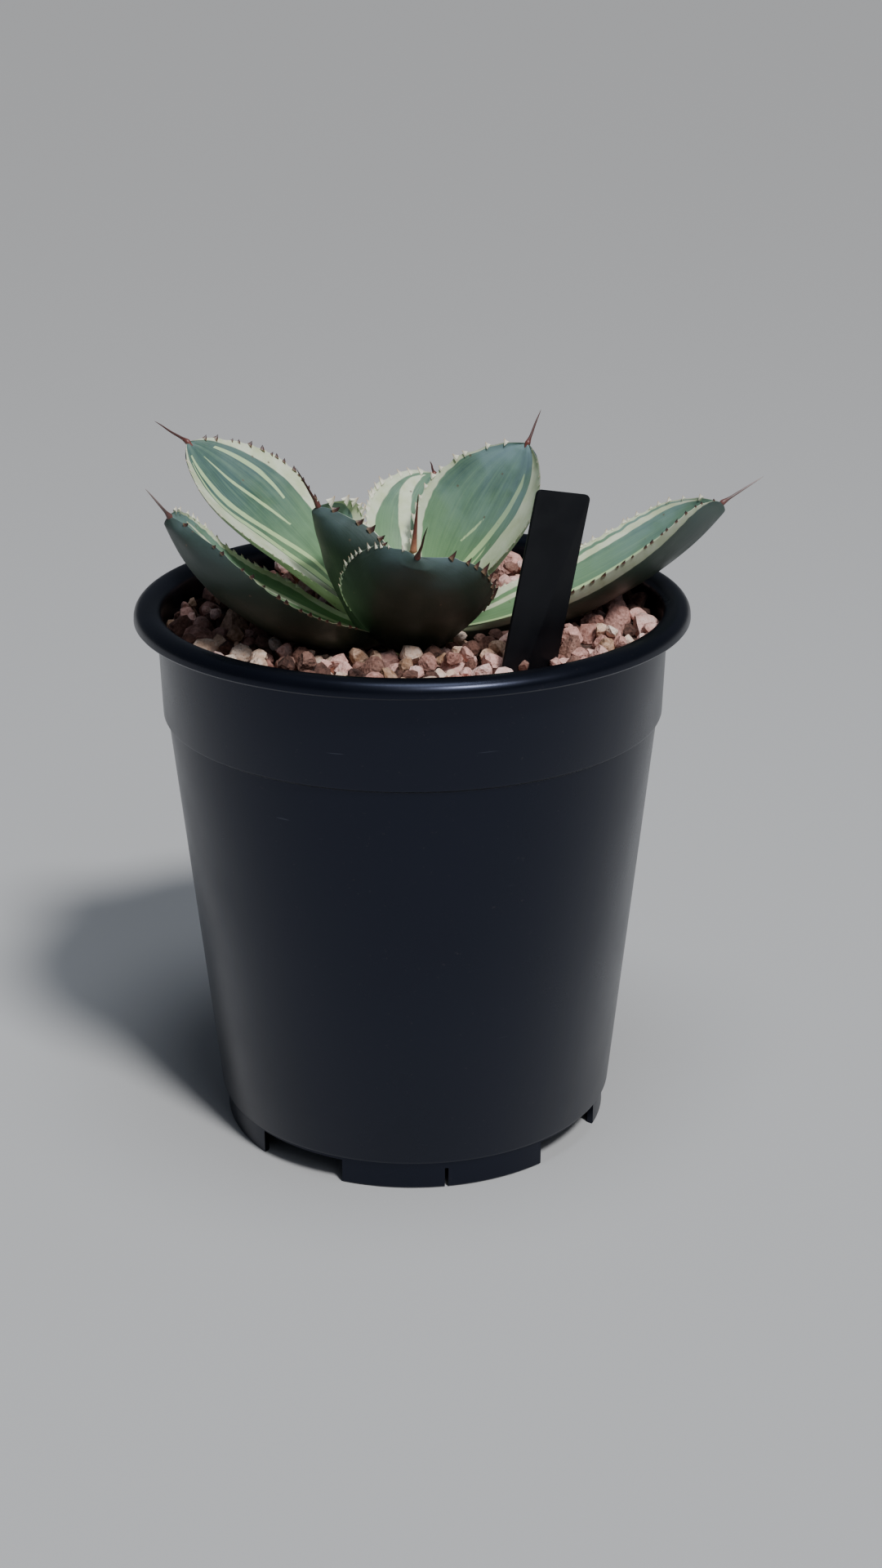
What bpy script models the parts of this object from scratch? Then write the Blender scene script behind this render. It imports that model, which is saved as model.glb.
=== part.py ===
"""Potted variegated agave: a moulded nursery pot, its filling, and the plant.

Everything is modelled about the pot's axis, with the pot standing on z = 0 and
the front of the plant at -Y. The last step moves the whole model so that the
origin lies at the bottom centre of its bounding box. Lengths are in metres.
"""
import math

import bmesh
import bpy
from mathutils import Matrix, Vector, noise

MM = 0.001
COLLECTION = "potted_agave"
CUTTERS = "cutters"

# What fits in or stands by another piece keeps this gap to it.
GAP = 0.3 * MM

# Pot: outer sizes
RIM_RADIUS = 61.0 * MM
POT_HEIGHT = 123.2 * MM
RIM_OVERHANG = 5.0 * MM
COLLAR_HEIGHT = 25.0 * MM
COLLAR_TAPER = 0.6 * MM
STEP_LEDGE = 1.0 * MM
BODY_TAPER = 8.9 * MM
POT_WALL = 1.2 * MM
POT_SIDES = 40

# Pot: rolled rim
RIM_LIP_DROP = 3.2 * MM
RIM_LIP_THICKNESS = 1.0 * MM

# Pot: foot ring, raised floor and drainage
FOOT_HEIGHT = 6.8 * MM
FOOT_INSET = 1.2 * MM
FOOT_THICKNESS = 1.5 * MM
FLOOR_RISE = 1.0 * MM
FLOOR_THICKNESS = 1.2 * MM
FOOT_COUNT = 4
FOOT_NOTCH_ANGLE = 30.0
FOOT_TURN = 8.8
FOOT_SLIT = 0.8 * MM
DRAIN_HOLES = 8
DRAIN_HOLE_RADIUS = 3.0 * MM
DRAIN_CIRCLE_RADIUS = 28.0 * MM

# Filling
GRAVEL_BELOW_RIM = 7.7 * MM
GRAVEL_DEPTH = 9.5 * MM
GRAVEL_BUMP = 0.8 * MM
DISH_RADIUS = 22.0 * MM
DISH_SLOPE = 12.0 * MM
DISH_CLEARANCE = 2.0 * MM

# Plant: the short stem that every leaf grows from
STEM_X = -1.0 * MM
STEM_Y = -4.0 * MM
STEM_RADIUS = 4.5 * MM
STEM_ROOT_DEPTH = 14.0 * MM
STEM_ABOVE_GRAVEL = 4.5 * MM
LEAF_NECK_RADIUS = 1.0 * MM
LEAF_NECK_SHARE = 0.22
LEAF_TIP_CURVE = 0.8
LEAF_THICKNESS = 2.6 * MM
LEAF_MARGIN_THICKNESS = 0.5 * MM
TOOTH_LENGTH = 0.9 * MM
SPINE_RADIUS = 0.55 * MM
BUD_RADIUS = 3.4 * MM
BUD_LENGTH = 17.0 * MM
BUD_SPINE_LENGTH = 10.5 * MM
BUD_LEAN = (0.6 * MM, -0.8 * MM)

# Plant label: a flat strip pushed into the gravel
LABEL_WIDTH = 13.0 * MM
LABEL_THICKNESS = 0.8 * MM
LABEL_LENGTH = 73.0 * MM
LABEL_POINT = 8.0 * MM
LABEL_BURIED = 34.0 * MM
LABEL_X = 23.6 * MM
LABEL_Y = -34.0 * MM
LABEL_LEAN = 12.2
LABEL_TURN = 28.5

# Each leaf's base is placed from the stem's axis and the gravel's surface. Its
# midrib leaves there at an azimuth (from +X, anticlockwise) that drifts by
# `sweep`, and climbs from the first to the second of its two rises. Its section
# is an arc of the two cups, turned by the two rolls. Lengths in mm, angles in
# degrees.
LEAVES = {
    "leaf_left_low": dict(
        base=(-8, -3.5, 0.5), azimuth=200, sweep=9, rise=(2, 69), length=58,
        half_width=22, widest=0.35, fullness=4.3, cup=(39, 37), roll=(-4, 10),
        spine=(229, 48, 9.5)),
    "leaf_right_long": dict(
        base=(9, -2, 1), azimuth=21, sweep=-8, rise=(-4, 45), length=70.5,
        half_width=22, widest=0.68, fullness=4.0, cup=(43, 40), roll=(6, 17),
        spine=(22, 26, 11.5)),
    "leaf_left_back": dict(
        base=(-7.5, 7, 1), azimuth=159, sweep=1, rise=(36, 44), length=57.5,
        half_width=18, widest=0.63, fullness=1.7, cup=(19, 31), roll=(-12, 15),
        spine=(152, 24, 9.5)),
    "leaf_front": dict(
        base=(1, -8.5, -0.5), azimuth=-89, sweep=2, rise=(34, 52), length=42.5,
        half_width=17, widest=0.46, fullness=2.6, cup=(31, 56), roll=(-1, 15),
        spine=(-73, 49, 10.5)),
    "leaf_right_back": dict(
        base=(5.5, 3, 4), azimuth=36, sweep=-4, rise=(45, 62), length=43,
        half_width=19.5, widest=0.55, fullness=2.0, cup=(34, 36), roll=(7, -9),
        spine=(63, 41, 9.5)),
    "leaf_back": dict(
        base=(1.5, 13, 4), azimuth=83, sweep=-4, rise=(49, 22), length=37.5,
        half_width=13.5, widest=0.51, fullness=2.4, cup=(49, 40), roll=(-2, -1),
        spine=(97, 9, 8)),
    "leaf_left_inner": dict(
        base=(-7, -2, 1), azimuth=198, sweep=-2, rise=(54, 80), length=32,
        half_width=18, widest=0.68, fullness=2.3, cup=(65, 76), roll=(-3, 8),
        spine=(212, 60, 10.5)),
}
# An older leaf is dented where a younger one presses on it, by the younger leaf plus the gap.
PRESSED_BY = {
    "leaf_left_low": ("leaf_left_inner", "leaf_left_back", "leaf_front"),
    "leaf_right_long": ("leaf_right_back", "leaf_front"),
    "leaf_left_back": ("leaf_left_inner",),
    "leaf_back": ("leaf_right_back",),
    "leaf_front": ("leaf_left_inner",),
}
BLADE_RINGS = 17
SPINE_RINGS = 3
LEAF_SIDES = 10

# The large top stones: place across the pot and diameter, in mm
STONES = (
    (-46, 20, 5.4), (-43, 16, 4.6), (-50, 4, 4.6), (-22, -31, 6.2), (-14, -37, 5.4),
    (-32, -33, 4.8), (-8, -42, 4.6), (-1, -40, 4.4), (3, -32, 5.2), (5, -39, 4.2),
    (11, -38, 4.4), (16, -20, 5.2), (34, -15, 6.0), (41, -20, 5.2), (35, -27, 4.6),
    (47, -9, 4.4), (50, 2, 4.8), (46, -16, 4.2), (-24, 42, 5.8), (-8, 46, 5.0),
    (14, 40, 5.4), (30, 38, 4.8), (42, 24, 5.6), (-36, 32, 5.0),
)


def clear_scene():
    for thing in list(bpy.data.objects):
        bpy.data.objects.remove(thing)


def new_collection(name):
    collection = bpy.data.collections.new(name)
    bpy.context.scene.collection.children.link(collection)
    return collection


def material(name, colour, roughness, metallic=0.0):
    """A plain Principled material; the colour is linear RGB."""
    made = bpy.data.materials.new(name)
    made.use_nodes = True
    shader = made.node_tree.nodes["Principled BSDF"]
    shader.inputs["Base Color"].default_value = (*colour, 1.0)
    shader.inputs["Roughness"].default_value = roughness
    shader.inputs["Metallic"].default_value = metallic
    made.diffuse_color = (*colour, 1.0)
    return made


def make_object(name, mesh, look, collection, smooth_angle=None):
    thing = bpy.data.objects.new(name, mesh)
    collection.objects.link(thing)
    if look is not None:
        mesh.materials.clear()
        mesh.materials.append(look)
    if smooth_angle is not None:
        mesh.shade_smooth()
        mesh.set_sharp_from_angle(angle=math.radians(smooth_angle))
    return thing


def mesh_from(bm, name):
    mesh = bpy.data.meshes.new(name)
    bm.to_mesh(mesh)
    bm.free()
    return mesh


def turned(name, profile, look, collection, sides=POT_SIDES):
    """A solid of revolution about +Z from (radius, height) points, outer side downwards."""
    mesh = bpy.data.meshes.new(name)
    points = [(r, 0.0, z) for r, z in profile]
    mesh.from_pydata(points, [(i, i + 1) for i in range(len(points) - 1)], [])
    thing = make_object(name, mesh, look, collection)
    screw = thing.modifiers.new("turn", "SCREW")
    screw.axis = "Z"
    screw.steps = sides
    screw.render_steps = sides
    screw.use_merge_vertices = True
    screw.merge_threshold = 0.00005
    screw.use_smooth_shade = True
    return thing


def bake(thing):
    """Replace an object's mesh by its evaluated one, so that its vertices can be moved."""
    graph = bpy.context.evaluated_depsgraph_get()
    mesh = bpy.data.meshes.new_from_object(thing.evaluated_get(graph))
    thing.modifiers.clear()
    thing.data = mesh
    return thing


def as_cutter(thing):
    thing.hide_render = True
    thing.display_type = "WIRE"
    return thing


def box_cutter(name, size, place, cutters):
    bm = bmesh.new()
    bmesh.ops.create_cube(bm, size=1.0)
    bmesh.ops.scale(bm, vec=size, verts=bm.verts)
    thing = as_cutter(make_object(name, mesh_from(bm, name), None, cutters))
    thing.matrix_world = place
    return thing


def round_cutter(name, radius, z_low, z_high, x, y, cutters, sides=16):
    bm = bmesh.new()
    bmesh.ops.create_cone(
        bm, cap_ends=True, segments=sides, radius1=radius, radius2=radius,
        depth=z_high - z_low)
    thing = as_cutter(make_object(name, mesh_from(bm, name), None, cutters))
    thing.location = (x, y, (z_low + z_high) / 2)
    return thing


def cut(thing, cutter):
    boolean = thing.modifiers.new("cut " + cutter.name, "BOOLEAN")
    boolean.operation = "DIFFERENCE"
    boolean.solver = "EXACT"
    boolean.object = cutter


def step_height():
    return POT_HEIGHT - COLLAR_HEIGHT


def gravel_top():
    return POT_HEIGHT - GRAVEL_BELOW_RIM


def mix_top():
    return gravel_top() - GRAVEL_DEPTH


def stem_top():
    return gravel_top() + STEM_ABOVE_GRAVEL


def body_top_radius():
    return RIM_RADIUS - RIM_OVERHANG - COLLAR_TAPER - STEP_LEDGE


def body_foot_radius():
    return body_top_radius() - BODY_TAPER


def collar_top_height():
    return POT_HEIGHT - RIM_LIP_DROP - 2.0 * MM


def outer_radius(z):
    """Outer radius of the pot's wall: a tapered body with a wider collar above the step."""
    if z > step_height():
        share = (z - step_height()) / (collar_top_height() - step_height())
        return body_top_radius() + STEP_LEDGE + COLLAR_TAPER * share
    share = (z - FOOT_HEIGHT) / (step_height() - FOOT_HEIGHT)
    return body_foot_radius() + BODY_TAPER * share


def inner_radius(z):
    """Inner radius of the wall, whose step lies one wall thickness above the outer one."""
    if z > step_height() + POT_WALL:
        return outer_radius(z) - POT_WALL
    return outer_radius(min(z, step_height())) - POT_WALL


def floor_top():
    return FOOT_HEIGHT + FLOOR_RISE + FLOOR_THICKNESS


def pot_profile():
    floor_low = floor_top() - FLOOR_THICKNESS
    collar_top = collar_top_height()
    step = step_height()
    throat = inner_radius(collar_top)
    neck = outer_radius(collar_top)
    roll = RIM_RADIUS - throat
    skin = RIM_LIP_THICKNESS
    foot_outer = body_foot_radius() - FOOT_INSET
    foot_inner = foot_outer - FOOT_THICKNESS
    inside = [
        (0.0, floor_top()),
        (inner_radius(floor_top()), floor_top()),
        (inner_radius(step), step + POT_WALL),
        (inner_radius(step + 2 * POT_WALL), step + POT_WALL),
        (throat, collar_top),
    ]
    lip = [
        (throat + 0.02 * roll, POT_HEIGHT - 2.2 * MM),
        (throat + 0.18 * roll, POT_HEIGHT - 0.6 * MM),
        (throat + 0.50 * roll, POT_HEIGHT),
        (throat + 0.82 * roll, POT_HEIGHT - 0.8 * MM),
        (RIM_RADIUS, POT_HEIGHT - RIM_LIP_DROP),
        (RIM_RADIUS - skin, POT_HEIGHT - RIM_LIP_DROP),
        (throat + 0.72 * roll, POT_HEIGHT - 0.8 * MM - skin),
        (throat + 0.50 * roll, POT_HEIGHT - skin),
        (neck + 0.2 * MM, POT_HEIGHT - 1.4 * MM - skin),
    ]
    outside = [
        (neck, collar_top),
        (outer_radius(step + 0.01 * MM), step),
        (outer_radius(step), step - 0.3 * MM),
        (body_foot_radius(), FOOT_HEIGHT),
        (foot_outer, FOOT_HEIGHT - 0.6 * MM),
        (foot_outer, 0.0),
        (foot_inner, 0.0),
        (foot_inner, floor_low),
        (0.0, floor_low),
    ]
    return inside + lip + outside


def make_pot(look, collection, cutters):
    pot = turned("pot", pot_profile(), look, collection)
    ring_radius = body_foot_radius() - FOOT_INSET - FOOT_THICKNESS / 2
    period = 360.0 / FOOT_COUNT
    notch_width = 2 * ring_radius * math.sin(math.radians(FOOT_NOTCH_ANGLE / 2))
    for i in range(FOOT_COUNT):
        foot_angle = -90.0 + FOOT_TURN + i * period
        for kind, angle, width, height in (
                ("notch", foot_angle + period / 2, notch_width, FOOT_HEIGHT - 1.0 * MM),
                ("slit", foot_angle, FOOT_SLIT, FOOT_HEIGHT - 2.0 * MM)):
            turn = Matrix.Rotation(math.radians(angle), 4, "Z")
            place = turn @ Matrix.Translation((ring_radius, 0.0, 0.0))
            size = (4 * FOOT_THICKNESS, width, 2 * height)
            cut(pot, box_cutter(f"foot_{kind}_{i + 1}", size, place, cutters))
    low = FOOT_HEIGHT - 1.0 * MM
    high = floor_top() + 1.0 * MM
    for i in range(DRAIN_HOLES):
        angle = 2 * math.pi * i / DRAIN_HOLES
        x = DRAIN_CIRCLE_RADIUS * math.cos(angle)
        y = DRAIN_CIRCLE_RADIUS * math.sin(angle)
        cut(pot, round_cutter(f"drain_{i + 1}", DRAIN_HOLE_RADIUS, low, high, x, y, cutters))
    cut(pot, round_cutter("drain_middle", DRAIN_HOLE_RADIUS, low, high, 0.0, 0.0, cutters))
    return pot


def label_matrix():
    """Frame of the label: its middle where it enters the gravel, +Z along the strip."""
    lean = Matrix.Rotation(math.radians(LABEL_LEAN), 4, "Y")
    turn = Matrix.Rotation(math.radians(LABEL_TURN), 4, "Z")
    return Matrix.Translation((LABEL_X, LABEL_Y, gravel_top())) @ turn @ lean


def stem_cutter(cutters):
    deepest = mix_top() - STEM_ROOT_DEPTH - GAP
    above = stem_top() + 10 * MM
    return round_cutter(
        "stem_pocket", STEM_RADIUS + GAP, deepest, above, STEM_X, STEM_Y, cutters, 20)


def label_cutter(cutters):
    size = (LABEL_WIDTH + 2 * GAP, LABEL_THICKNESS + 2 * GAP, 2 * (LABEL_BURIED + GAP))
    return box_cutter("label_pocket", size, label_matrix(), cutters)


def make_mix(look, collection, pockets):
    step = step_height() + POT_WALL
    floor = floor_top() + GAP
    profile = [
        (0.0, mix_top()),
        (inner_radius(mix_top()) - GAP, mix_top()),
        (inner_radius(step + POT_WALL) - GAP, step + GAP),
        (inner_radius(step) - GAP, step + GAP),
        (inner_radius(floor) - GAP, floor),
        (0.0, floor),
    ]
    mix = turned("potting_mix", profile, look, collection)
    for pocket in pockets:
        cut(mix, pocket)
    return mix


def make_gravel(look, collection, pockets):
    """The bed under the stones: a bumpy disc, dished around the plant for its lowest leaves."""
    low = mix_top() + GAP
    edge = inner_radius(gravel_top()) - GAP
    rings = 9
    top = [(edge * i / rings, gravel_top()) for i in range(rings + 1)]
    profile = top + [(inner_radius(low) - GAP, low), (0.0, low)]
    bed = bake(turned("gravel_layer", profile, look, collection))
    stem_place = Vector((STEM_X, STEM_Y))
    for vertex in bed.data.vertices:
        if vertex.co.z > gravel_top() - GAP and vertex.co.xy.length < edge - GAP:
            from_stem = (vertex.co.xy - stem_place).length
            rise = min(1.0, max(0.0, (from_stem - DISH_RADIUS) / DISH_SLOPE))
            vertex.co.z += GRAVEL_BUMP * (noise.noise(vertex.co * 220.0) - 1.0)
            vertex.co.z -= (LEAF_THICKNESS + DISH_CLEARANCE) * (1.0 - rise)
    for pocket in pockets:
        cut(bed, pocket)
    return bed


def make_stem(look, collection):
    shoulder = stem_top() - 1.5 * MM
    root = mix_top() - STEM_ROOT_DEPTH
    profile = [
        (0.0, stem_top()),
        (0.6 * STEM_RADIUS, stem_top() - 0.3 * MM),
        (STEM_RADIUS, shoulder),
        (STEM_RADIUS, gravel_top() - 4 * MM),
        (0.9 * STEM_RADIUS, mix_top()),
        (0.4 * STEM_RADIUS, root + 1.0 * MM),
        (0.0, root),
    ]
    stem = turned("stem", profile, look, collection, 20)
    stem.location = (STEM_X, STEM_Y, 0.0)
    return stem


def mix(a, b, share):
    return a + (b - a) * share


def direction(azimuth, rise):
    az = math.radians(azimuth)
    el = math.radians(rise)
    return Vector((math.cos(el) * math.cos(az), math.cos(el) * math.sin(az), math.sin(el)))


class Blade:
    """One leaf's middle surface, as a function of v (0 base, 1 tip) and u (-1 left, 1 right)."""

    STEPS = 48

    def __init__(self, leaf):
        self.leaf = leaf
        self.places = [Vector((STEM_X, STEM_Y, gravel_top())) + Vector(leaf["base"]) * MM]
        for i in range(self.STEPS):
            along = (i + 0.5) / self.STEPS
            step = self.heading(along) * leaf["length"] * MM / self.STEPS
            self.places.append(self.places[-1] + step)

    def heading(self, v):
        leaf = self.leaf
        azimuth = leaf["azimuth"] + leaf["sweep"] * v
        return direction(azimuth, mix(*leaf["rise"], v))

    def middle(self, v):
        at = v * self.STEPS
        i = min(int(at), self.STEPS - 1)
        return self.places[i].lerp(self.places[i + 1], at - i)

    def axes(self, v):
        """Sideways and upward directions of the section, with the leaf's roll applied."""
        leaf = self.leaf
        ahead = self.heading(v)
        side = ahead.cross(Vector((0, 0, 1))).normalized()
        up = side.cross(ahead)
        roll = math.radians(mix(*leaf["roll"], v))
        rolled_side = side * math.cos(roll) + up * math.sin(roll)
        rolled_up = up * math.cos(roll) - side * math.sin(roll)
        return rolled_side, rolled_up

    def half_width(self, v):
        leaf = self.leaf
        widest = leaf["widest"]
        if v < widest:
            share = mix(LEAF_NECK_SHARE, 1.0, math.sin(math.pi / 2 * v / widest))
        else:
            past = (v - widest) / (1 - widest)
            share = (1 - past ** leaf["fullness"]) ** LEAF_TIP_CURVE
        return leaf["half_width"] * MM * share

    def point(self, v, u, outward=0.0):
        """A point of the middle surface and the surface's own upward direction there."""
        side, up = self.axes(v)
        cup = math.radians(mix(*self.leaf["cup"], v))
        bend = cup * u
        width = self.half_width(v) + outward
        across = side * math.sin(bend) + up * (1 - math.cos(bend))
        normal = up * math.cos(bend) - side * math.sin(bend)
        return self.middle(v) + across * (width / cup), normal


def neck_point(blade):
    """Where the leaf's neck ends before it is cut to the stem: just inside its wall."""
    axis = Vector((STEM_X, STEM_Y, 0.0))
    base = blade.middle(0.0)
    out = (base - axis).to_2d().normalized()
    reach = STEM_RADIUS - GAP
    return Vector((STEM_X + out.x * reach, STEM_Y + out.y * reach, base.z))


def leaf_mesh(name, leaf, grow=0.0):
    """A sphere whose rings are laid out along the neck, the blade and the terminal spine.

    A leaf grown by a gap all round serves as the cutter for its older neighbours.
    """
    blade = Blade(leaf)
    rings = 2 + BLADE_RINGS + SPINE_RINGS
    bm = bmesh.new()
    bmesh.ops.create_uvsphere(bm, u_segments=LEAF_SIDES, v_segments=rings + 1, radius=1.0)
    tip = blade.middle(1.0)
    spine_azimuth, spine_rise, spine_length = leaf["spine"]
    spine_ahead = direction(spine_azimuth, spine_rise)
    neck = neck_point(blade)
    tip_side, tip_up = blade.axes(1.0)
    for vertex in bm.verts:
        low = math.acos(max(-1.0, min(1.0, -vertex.co.z))) / math.pi
        ring = round(low * (rings + 1))
        around = math.atan2(vertex.co.y, vertex.co.x)
        cosine = -math.cos(around)
        sine = math.sin(around)
        if ring == 0:
            vertex.co = neck
        elif ring == 1:
            side, up = blade.axes(0.0)
            vertex.co = neck.lerp(blade.middle(0.0), 0.12)
            vertex.co += (side * cosine + up * sine) * (LEAF_NECK_RADIUS + grow)
        elif ring <= 1 + BLADE_RINGS:
            vertex.co = blade_vertex(blade, ring - 2, cosine, sine, grow)
        elif ring <= rings:
            along = (ring - 1 - BLADE_RINGS - 0.6) / (SPINE_RINGS + 0.4)
            radius = SPINE_RADIUS * (1 - 0.75 * along) + grow
            vertex.co = tip + spine_ahead * spine_length * MM * along
            vertex.co += (tip_side * cosine + tip_up * sine) * radius
        else:
            vertex.co = tip + spine_ahead * spine_length * MM
    return mesh_from(bm, name)


def blade_vertex(blade, station, cosine, sine, grow):
    v = 0.05 + 0.93 * station / (BLADE_RINGS - 1)
    is_edge = abs(sine) < 0.01
    is_toothed = station % 2 == 1 and 2 < station < BLADE_RINGS - 2
    outward = (TOOTH_LENGTH if is_edge and is_toothed else 0.0) + grow
    point, normal = blade.point(v, cosine, outward)
    body = LEAF_THICKNESS * mix(1.0, 0.45, v) * min(1.0, 0.45 + 4.0 * v)
    margin = LEAF_MARGIN_THICKNESS + grow
    if sine < 0:
        return point + normal * sine * (body + margin)
    return point + normal * sine * margin


def make_leaves(look, collection, cutters, stem_pocket):
    leaves = {}
    for name, leaf in LEAVES.items():
        leaves[name] = make_object(name, leaf_mesh(name, leaf), look, collection, 40)
        cut(leaves[name], stem_pocket)
    for older, younger_ones in PRESSED_BY.items():
        for younger in younger_ones:
            name = f"{younger}_on_{older}"
            grown = leaf_mesh(name, LEAVES[younger], 1.2 * GAP)
            cut(leaves[older], as_cutter(make_object(name, grown, None, cutters)))
    return leaves


def make_bud(look, collection):
    """The unopened leaves: a pointed cone that ends in one spine, standing on the stem."""
    foot = stem_top() + GAP
    shoulder = foot + BUD_LENGTH
    profile = [
        (0.0, shoulder + BUD_SPINE_LENGTH),
        (0.5 * SPINE_RADIUS, shoulder + 0.6 * BUD_SPINE_LENGTH),
        (1.2 * SPINE_RADIUS, shoulder),
        (0.45 * BUD_RADIUS, foot + 0.80 * BUD_LENGTH),
        (0.80 * BUD_RADIUS, foot + 0.55 * BUD_LENGTH),
        (BUD_RADIUS, foot + 0.25 * BUD_LENGTH),
        (0.60 * BUD_RADIUS, foot),
        (0.0, foot),
    ]
    bud = bake(turned("central_bud", profile, look, collection, 12))
    for vertex in bud.data.vertices:
        rise = (vertex.co.z - foot) / (BUD_LENGTH + BUD_SPINE_LENGTH)
        vertex.co.x += BUD_LEAN[0] * rise * rise * 4
        vertex.co.y += BUD_LEAN[1] * rise * rise * 4
    bud.location = (STEM_X, STEM_Y, 0.0)
    return bud


def make_label(look, collection):
    """A flat strip with a pointed lower end, leaning to the right."""
    bm = bmesh.new()
    bmesh.ops.create_cube(bm, size=1.0)
    bmesh.ops.scale(bm, vec=(LABEL_WIDTH, LABEL_THICKNESS, LABEL_LENGTH), verts=bm.verts)
    lift = LABEL_LENGTH / 2 - LABEL_BURIED
    bmesh.ops.translate(bm, vec=(0.0, 0.0, lift), verts=bm.verts)
    cut_plane = -LABEL_BURIED + LABEL_POINT
    geometry = bm.verts[:] + bm.edges[:] + bm.faces[:]
    bmesh.ops.bisect_plane(bm, geom=geometry, plane_co=(0, 0, cut_plane), plane_no=(0, 0, 1))
    for vertex in bm.verts:
        if vertex.co.z < cut_plane - LABEL_POINT / 2:
            vertex.co.x *= 0.12
    label = make_object("plant_label", mesh_from(bm, "plant_label"), look, collection)
    label.matrix_world = label_matrix()
    return label


def stone_mesh(name, diameter, seed):
    """A rounded, slightly flattened grain; `seed` moves it through the noise field."""
    bm = bmesh.new()
    bmesh.ops.create_icosphere(bm, subdivisions=2, radius=diameter / 2)
    for vertex in bm.verts:
        where = vertex.co / diameter * 1.9 + Vector((seed * 7.3, seed * 3.1, seed))
        vertex.co *= 0.92 + 0.16 * noise.noise(where)
    squash = 0.78 + 0.16 * noise.noise(Vector((seed, 0.4, 0.2)))
    bmesh.ops.scale(bm, vec=(1.0, squash, 0.84), verts=bm.verts)
    turn = Matrix.Rotation(seed * 1.3, 3, "Z") @ Matrix.Rotation(0.3 * math.sin(seed), 3, "X")
    bmesh.ops.rotate(bm, cent=(0, 0, 0), matrix=turn, verts=bm.verts)
    return mesh_from(bm, name)


def make_stones(looks, collection):
    for i, (x, y, diameter) in enumerate(STONES):
        name = f"stone_{i + 1:02d}"
        mesh = stone_mesh(name, diameter * MM, i + 1.0)
        stone = make_object(name, mesh, looks[i % len(looks)], collection)
        lowest = min(vertex.co.z for vertex in mesh.vertices)
        stone.location = (x * MM, y * MM, gravel_top() + GAP - lowest)


def centre_on_origin(collection):
    """Move everything so that the origin is the bottom centre of the whole bounding box."""
    graph = bpy.context.evaluated_depsgraph_get()
    corners = []
    for thing in collection.objects:
        seen = thing.evaluated_get(graph)
        corners += [seen.matrix_world @ vertex.co for vertex in seen.data.vertices]
    x = (min(c.x for c in corners) + max(c.x for c in corners)) / 2
    y = (min(c.y for c in corners) + max(c.y for c in corners)) / 2
    z = min(c.z for c in corners)
    anchor = bpy.data.objects.new("plant_origin", None)
    collection.objects.link(anchor)
    for thing in list(bpy.data.objects):
        if thing is not anchor:
            thing.parent = anchor
    anchor.location = (-x, -y, -z)


def main():
    clear_scene()
    collection = new_collection(COLLECTION)
    cutters = new_collection(CUTTERS)
    black_plastic = material("black_pot_plastic", (0.008, 0.008, 0.012), 0.42)
    label_plastic = material("black_label_plastic", (0.006, 0.006, 0.007), 0.35)
    soil = material("dark_potting_mix", (0.035, 0.024, 0.018), 0.95)
    bed = material("gravel_bed", (0.22, 0.15, 0.12), 0.9)
    pink_stone = material("pink_grit", (0.50, 0.33, 0.28), 0.9)
    tan_stone = material("tan_grit", (0.46, 0.34, 0.22), 0.9)
    brown_stone = material("brown_grit", (0.16, 0.09, 0.07), 0.9)
    stem_look = material("stem_tissue", (0.42, 0.46, 0.26), 0.6)
    leaf_look = material("glaucous_leaf", (0.19, 0.31, 0.25), 0.5)
    bud_look = material("bud_tissue", (0.45, 0.40, 0.28), 0.5)

    make_pot(black_plastic, collection, cutters)
    pockets = (stem_cutter(cutters), label_cutter(cutters))
    make_mix(soil, collection, pockets)
    make_gravel(bed, collection, pockets)
    make_stem(stem_look, collection)
    make_leaves(leaf_look, collection, cutters, pockets[0])
    make_bud(bud_look, collection)
    make_label(label_plastic, collection)
    make_stones((pink_stone, tan_stone, pink_stone, brown_stone), collection)
    bpy.context.view_layer.update()
    centre_on_origin(collection)


main()
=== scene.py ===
"""Potted variegated agave in a moulded nursery pot, finished around its CAD frame.

Run as a script. Lengths in the code are metres unless a name or a table says otherwise.
"""
import functools
import math
import random

import bmesh
import bpy
import numpy as np
from mathutils import Euler, Matrix, Vector, noise
from mathutils.kdtree import KDTree


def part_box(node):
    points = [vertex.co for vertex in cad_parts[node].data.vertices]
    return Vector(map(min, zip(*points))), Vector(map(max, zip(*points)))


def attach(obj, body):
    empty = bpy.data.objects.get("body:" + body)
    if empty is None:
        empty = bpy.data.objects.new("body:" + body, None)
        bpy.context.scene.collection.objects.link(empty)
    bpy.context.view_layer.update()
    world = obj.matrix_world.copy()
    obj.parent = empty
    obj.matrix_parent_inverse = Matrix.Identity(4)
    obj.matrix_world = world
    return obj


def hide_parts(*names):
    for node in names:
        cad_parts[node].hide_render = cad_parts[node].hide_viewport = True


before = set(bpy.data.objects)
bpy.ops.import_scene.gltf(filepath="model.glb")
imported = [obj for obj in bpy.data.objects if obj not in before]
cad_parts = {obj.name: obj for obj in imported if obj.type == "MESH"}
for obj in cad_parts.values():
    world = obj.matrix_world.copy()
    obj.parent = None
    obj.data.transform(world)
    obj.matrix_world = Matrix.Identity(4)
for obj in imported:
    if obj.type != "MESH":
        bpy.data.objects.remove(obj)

bl_info = {
    "name": "Potted Agave",
    "version": (1, 0, 0),
    "blender": (4, 5, 0),
    "location": "View3D > Sidebar > Potted Agave",
    "description": "Builds a potted variegated agave piece by piece around its CAD frame",
    "category": "Object",
}

MM = 0.001
SEED = 41
BODY = "root"

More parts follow.
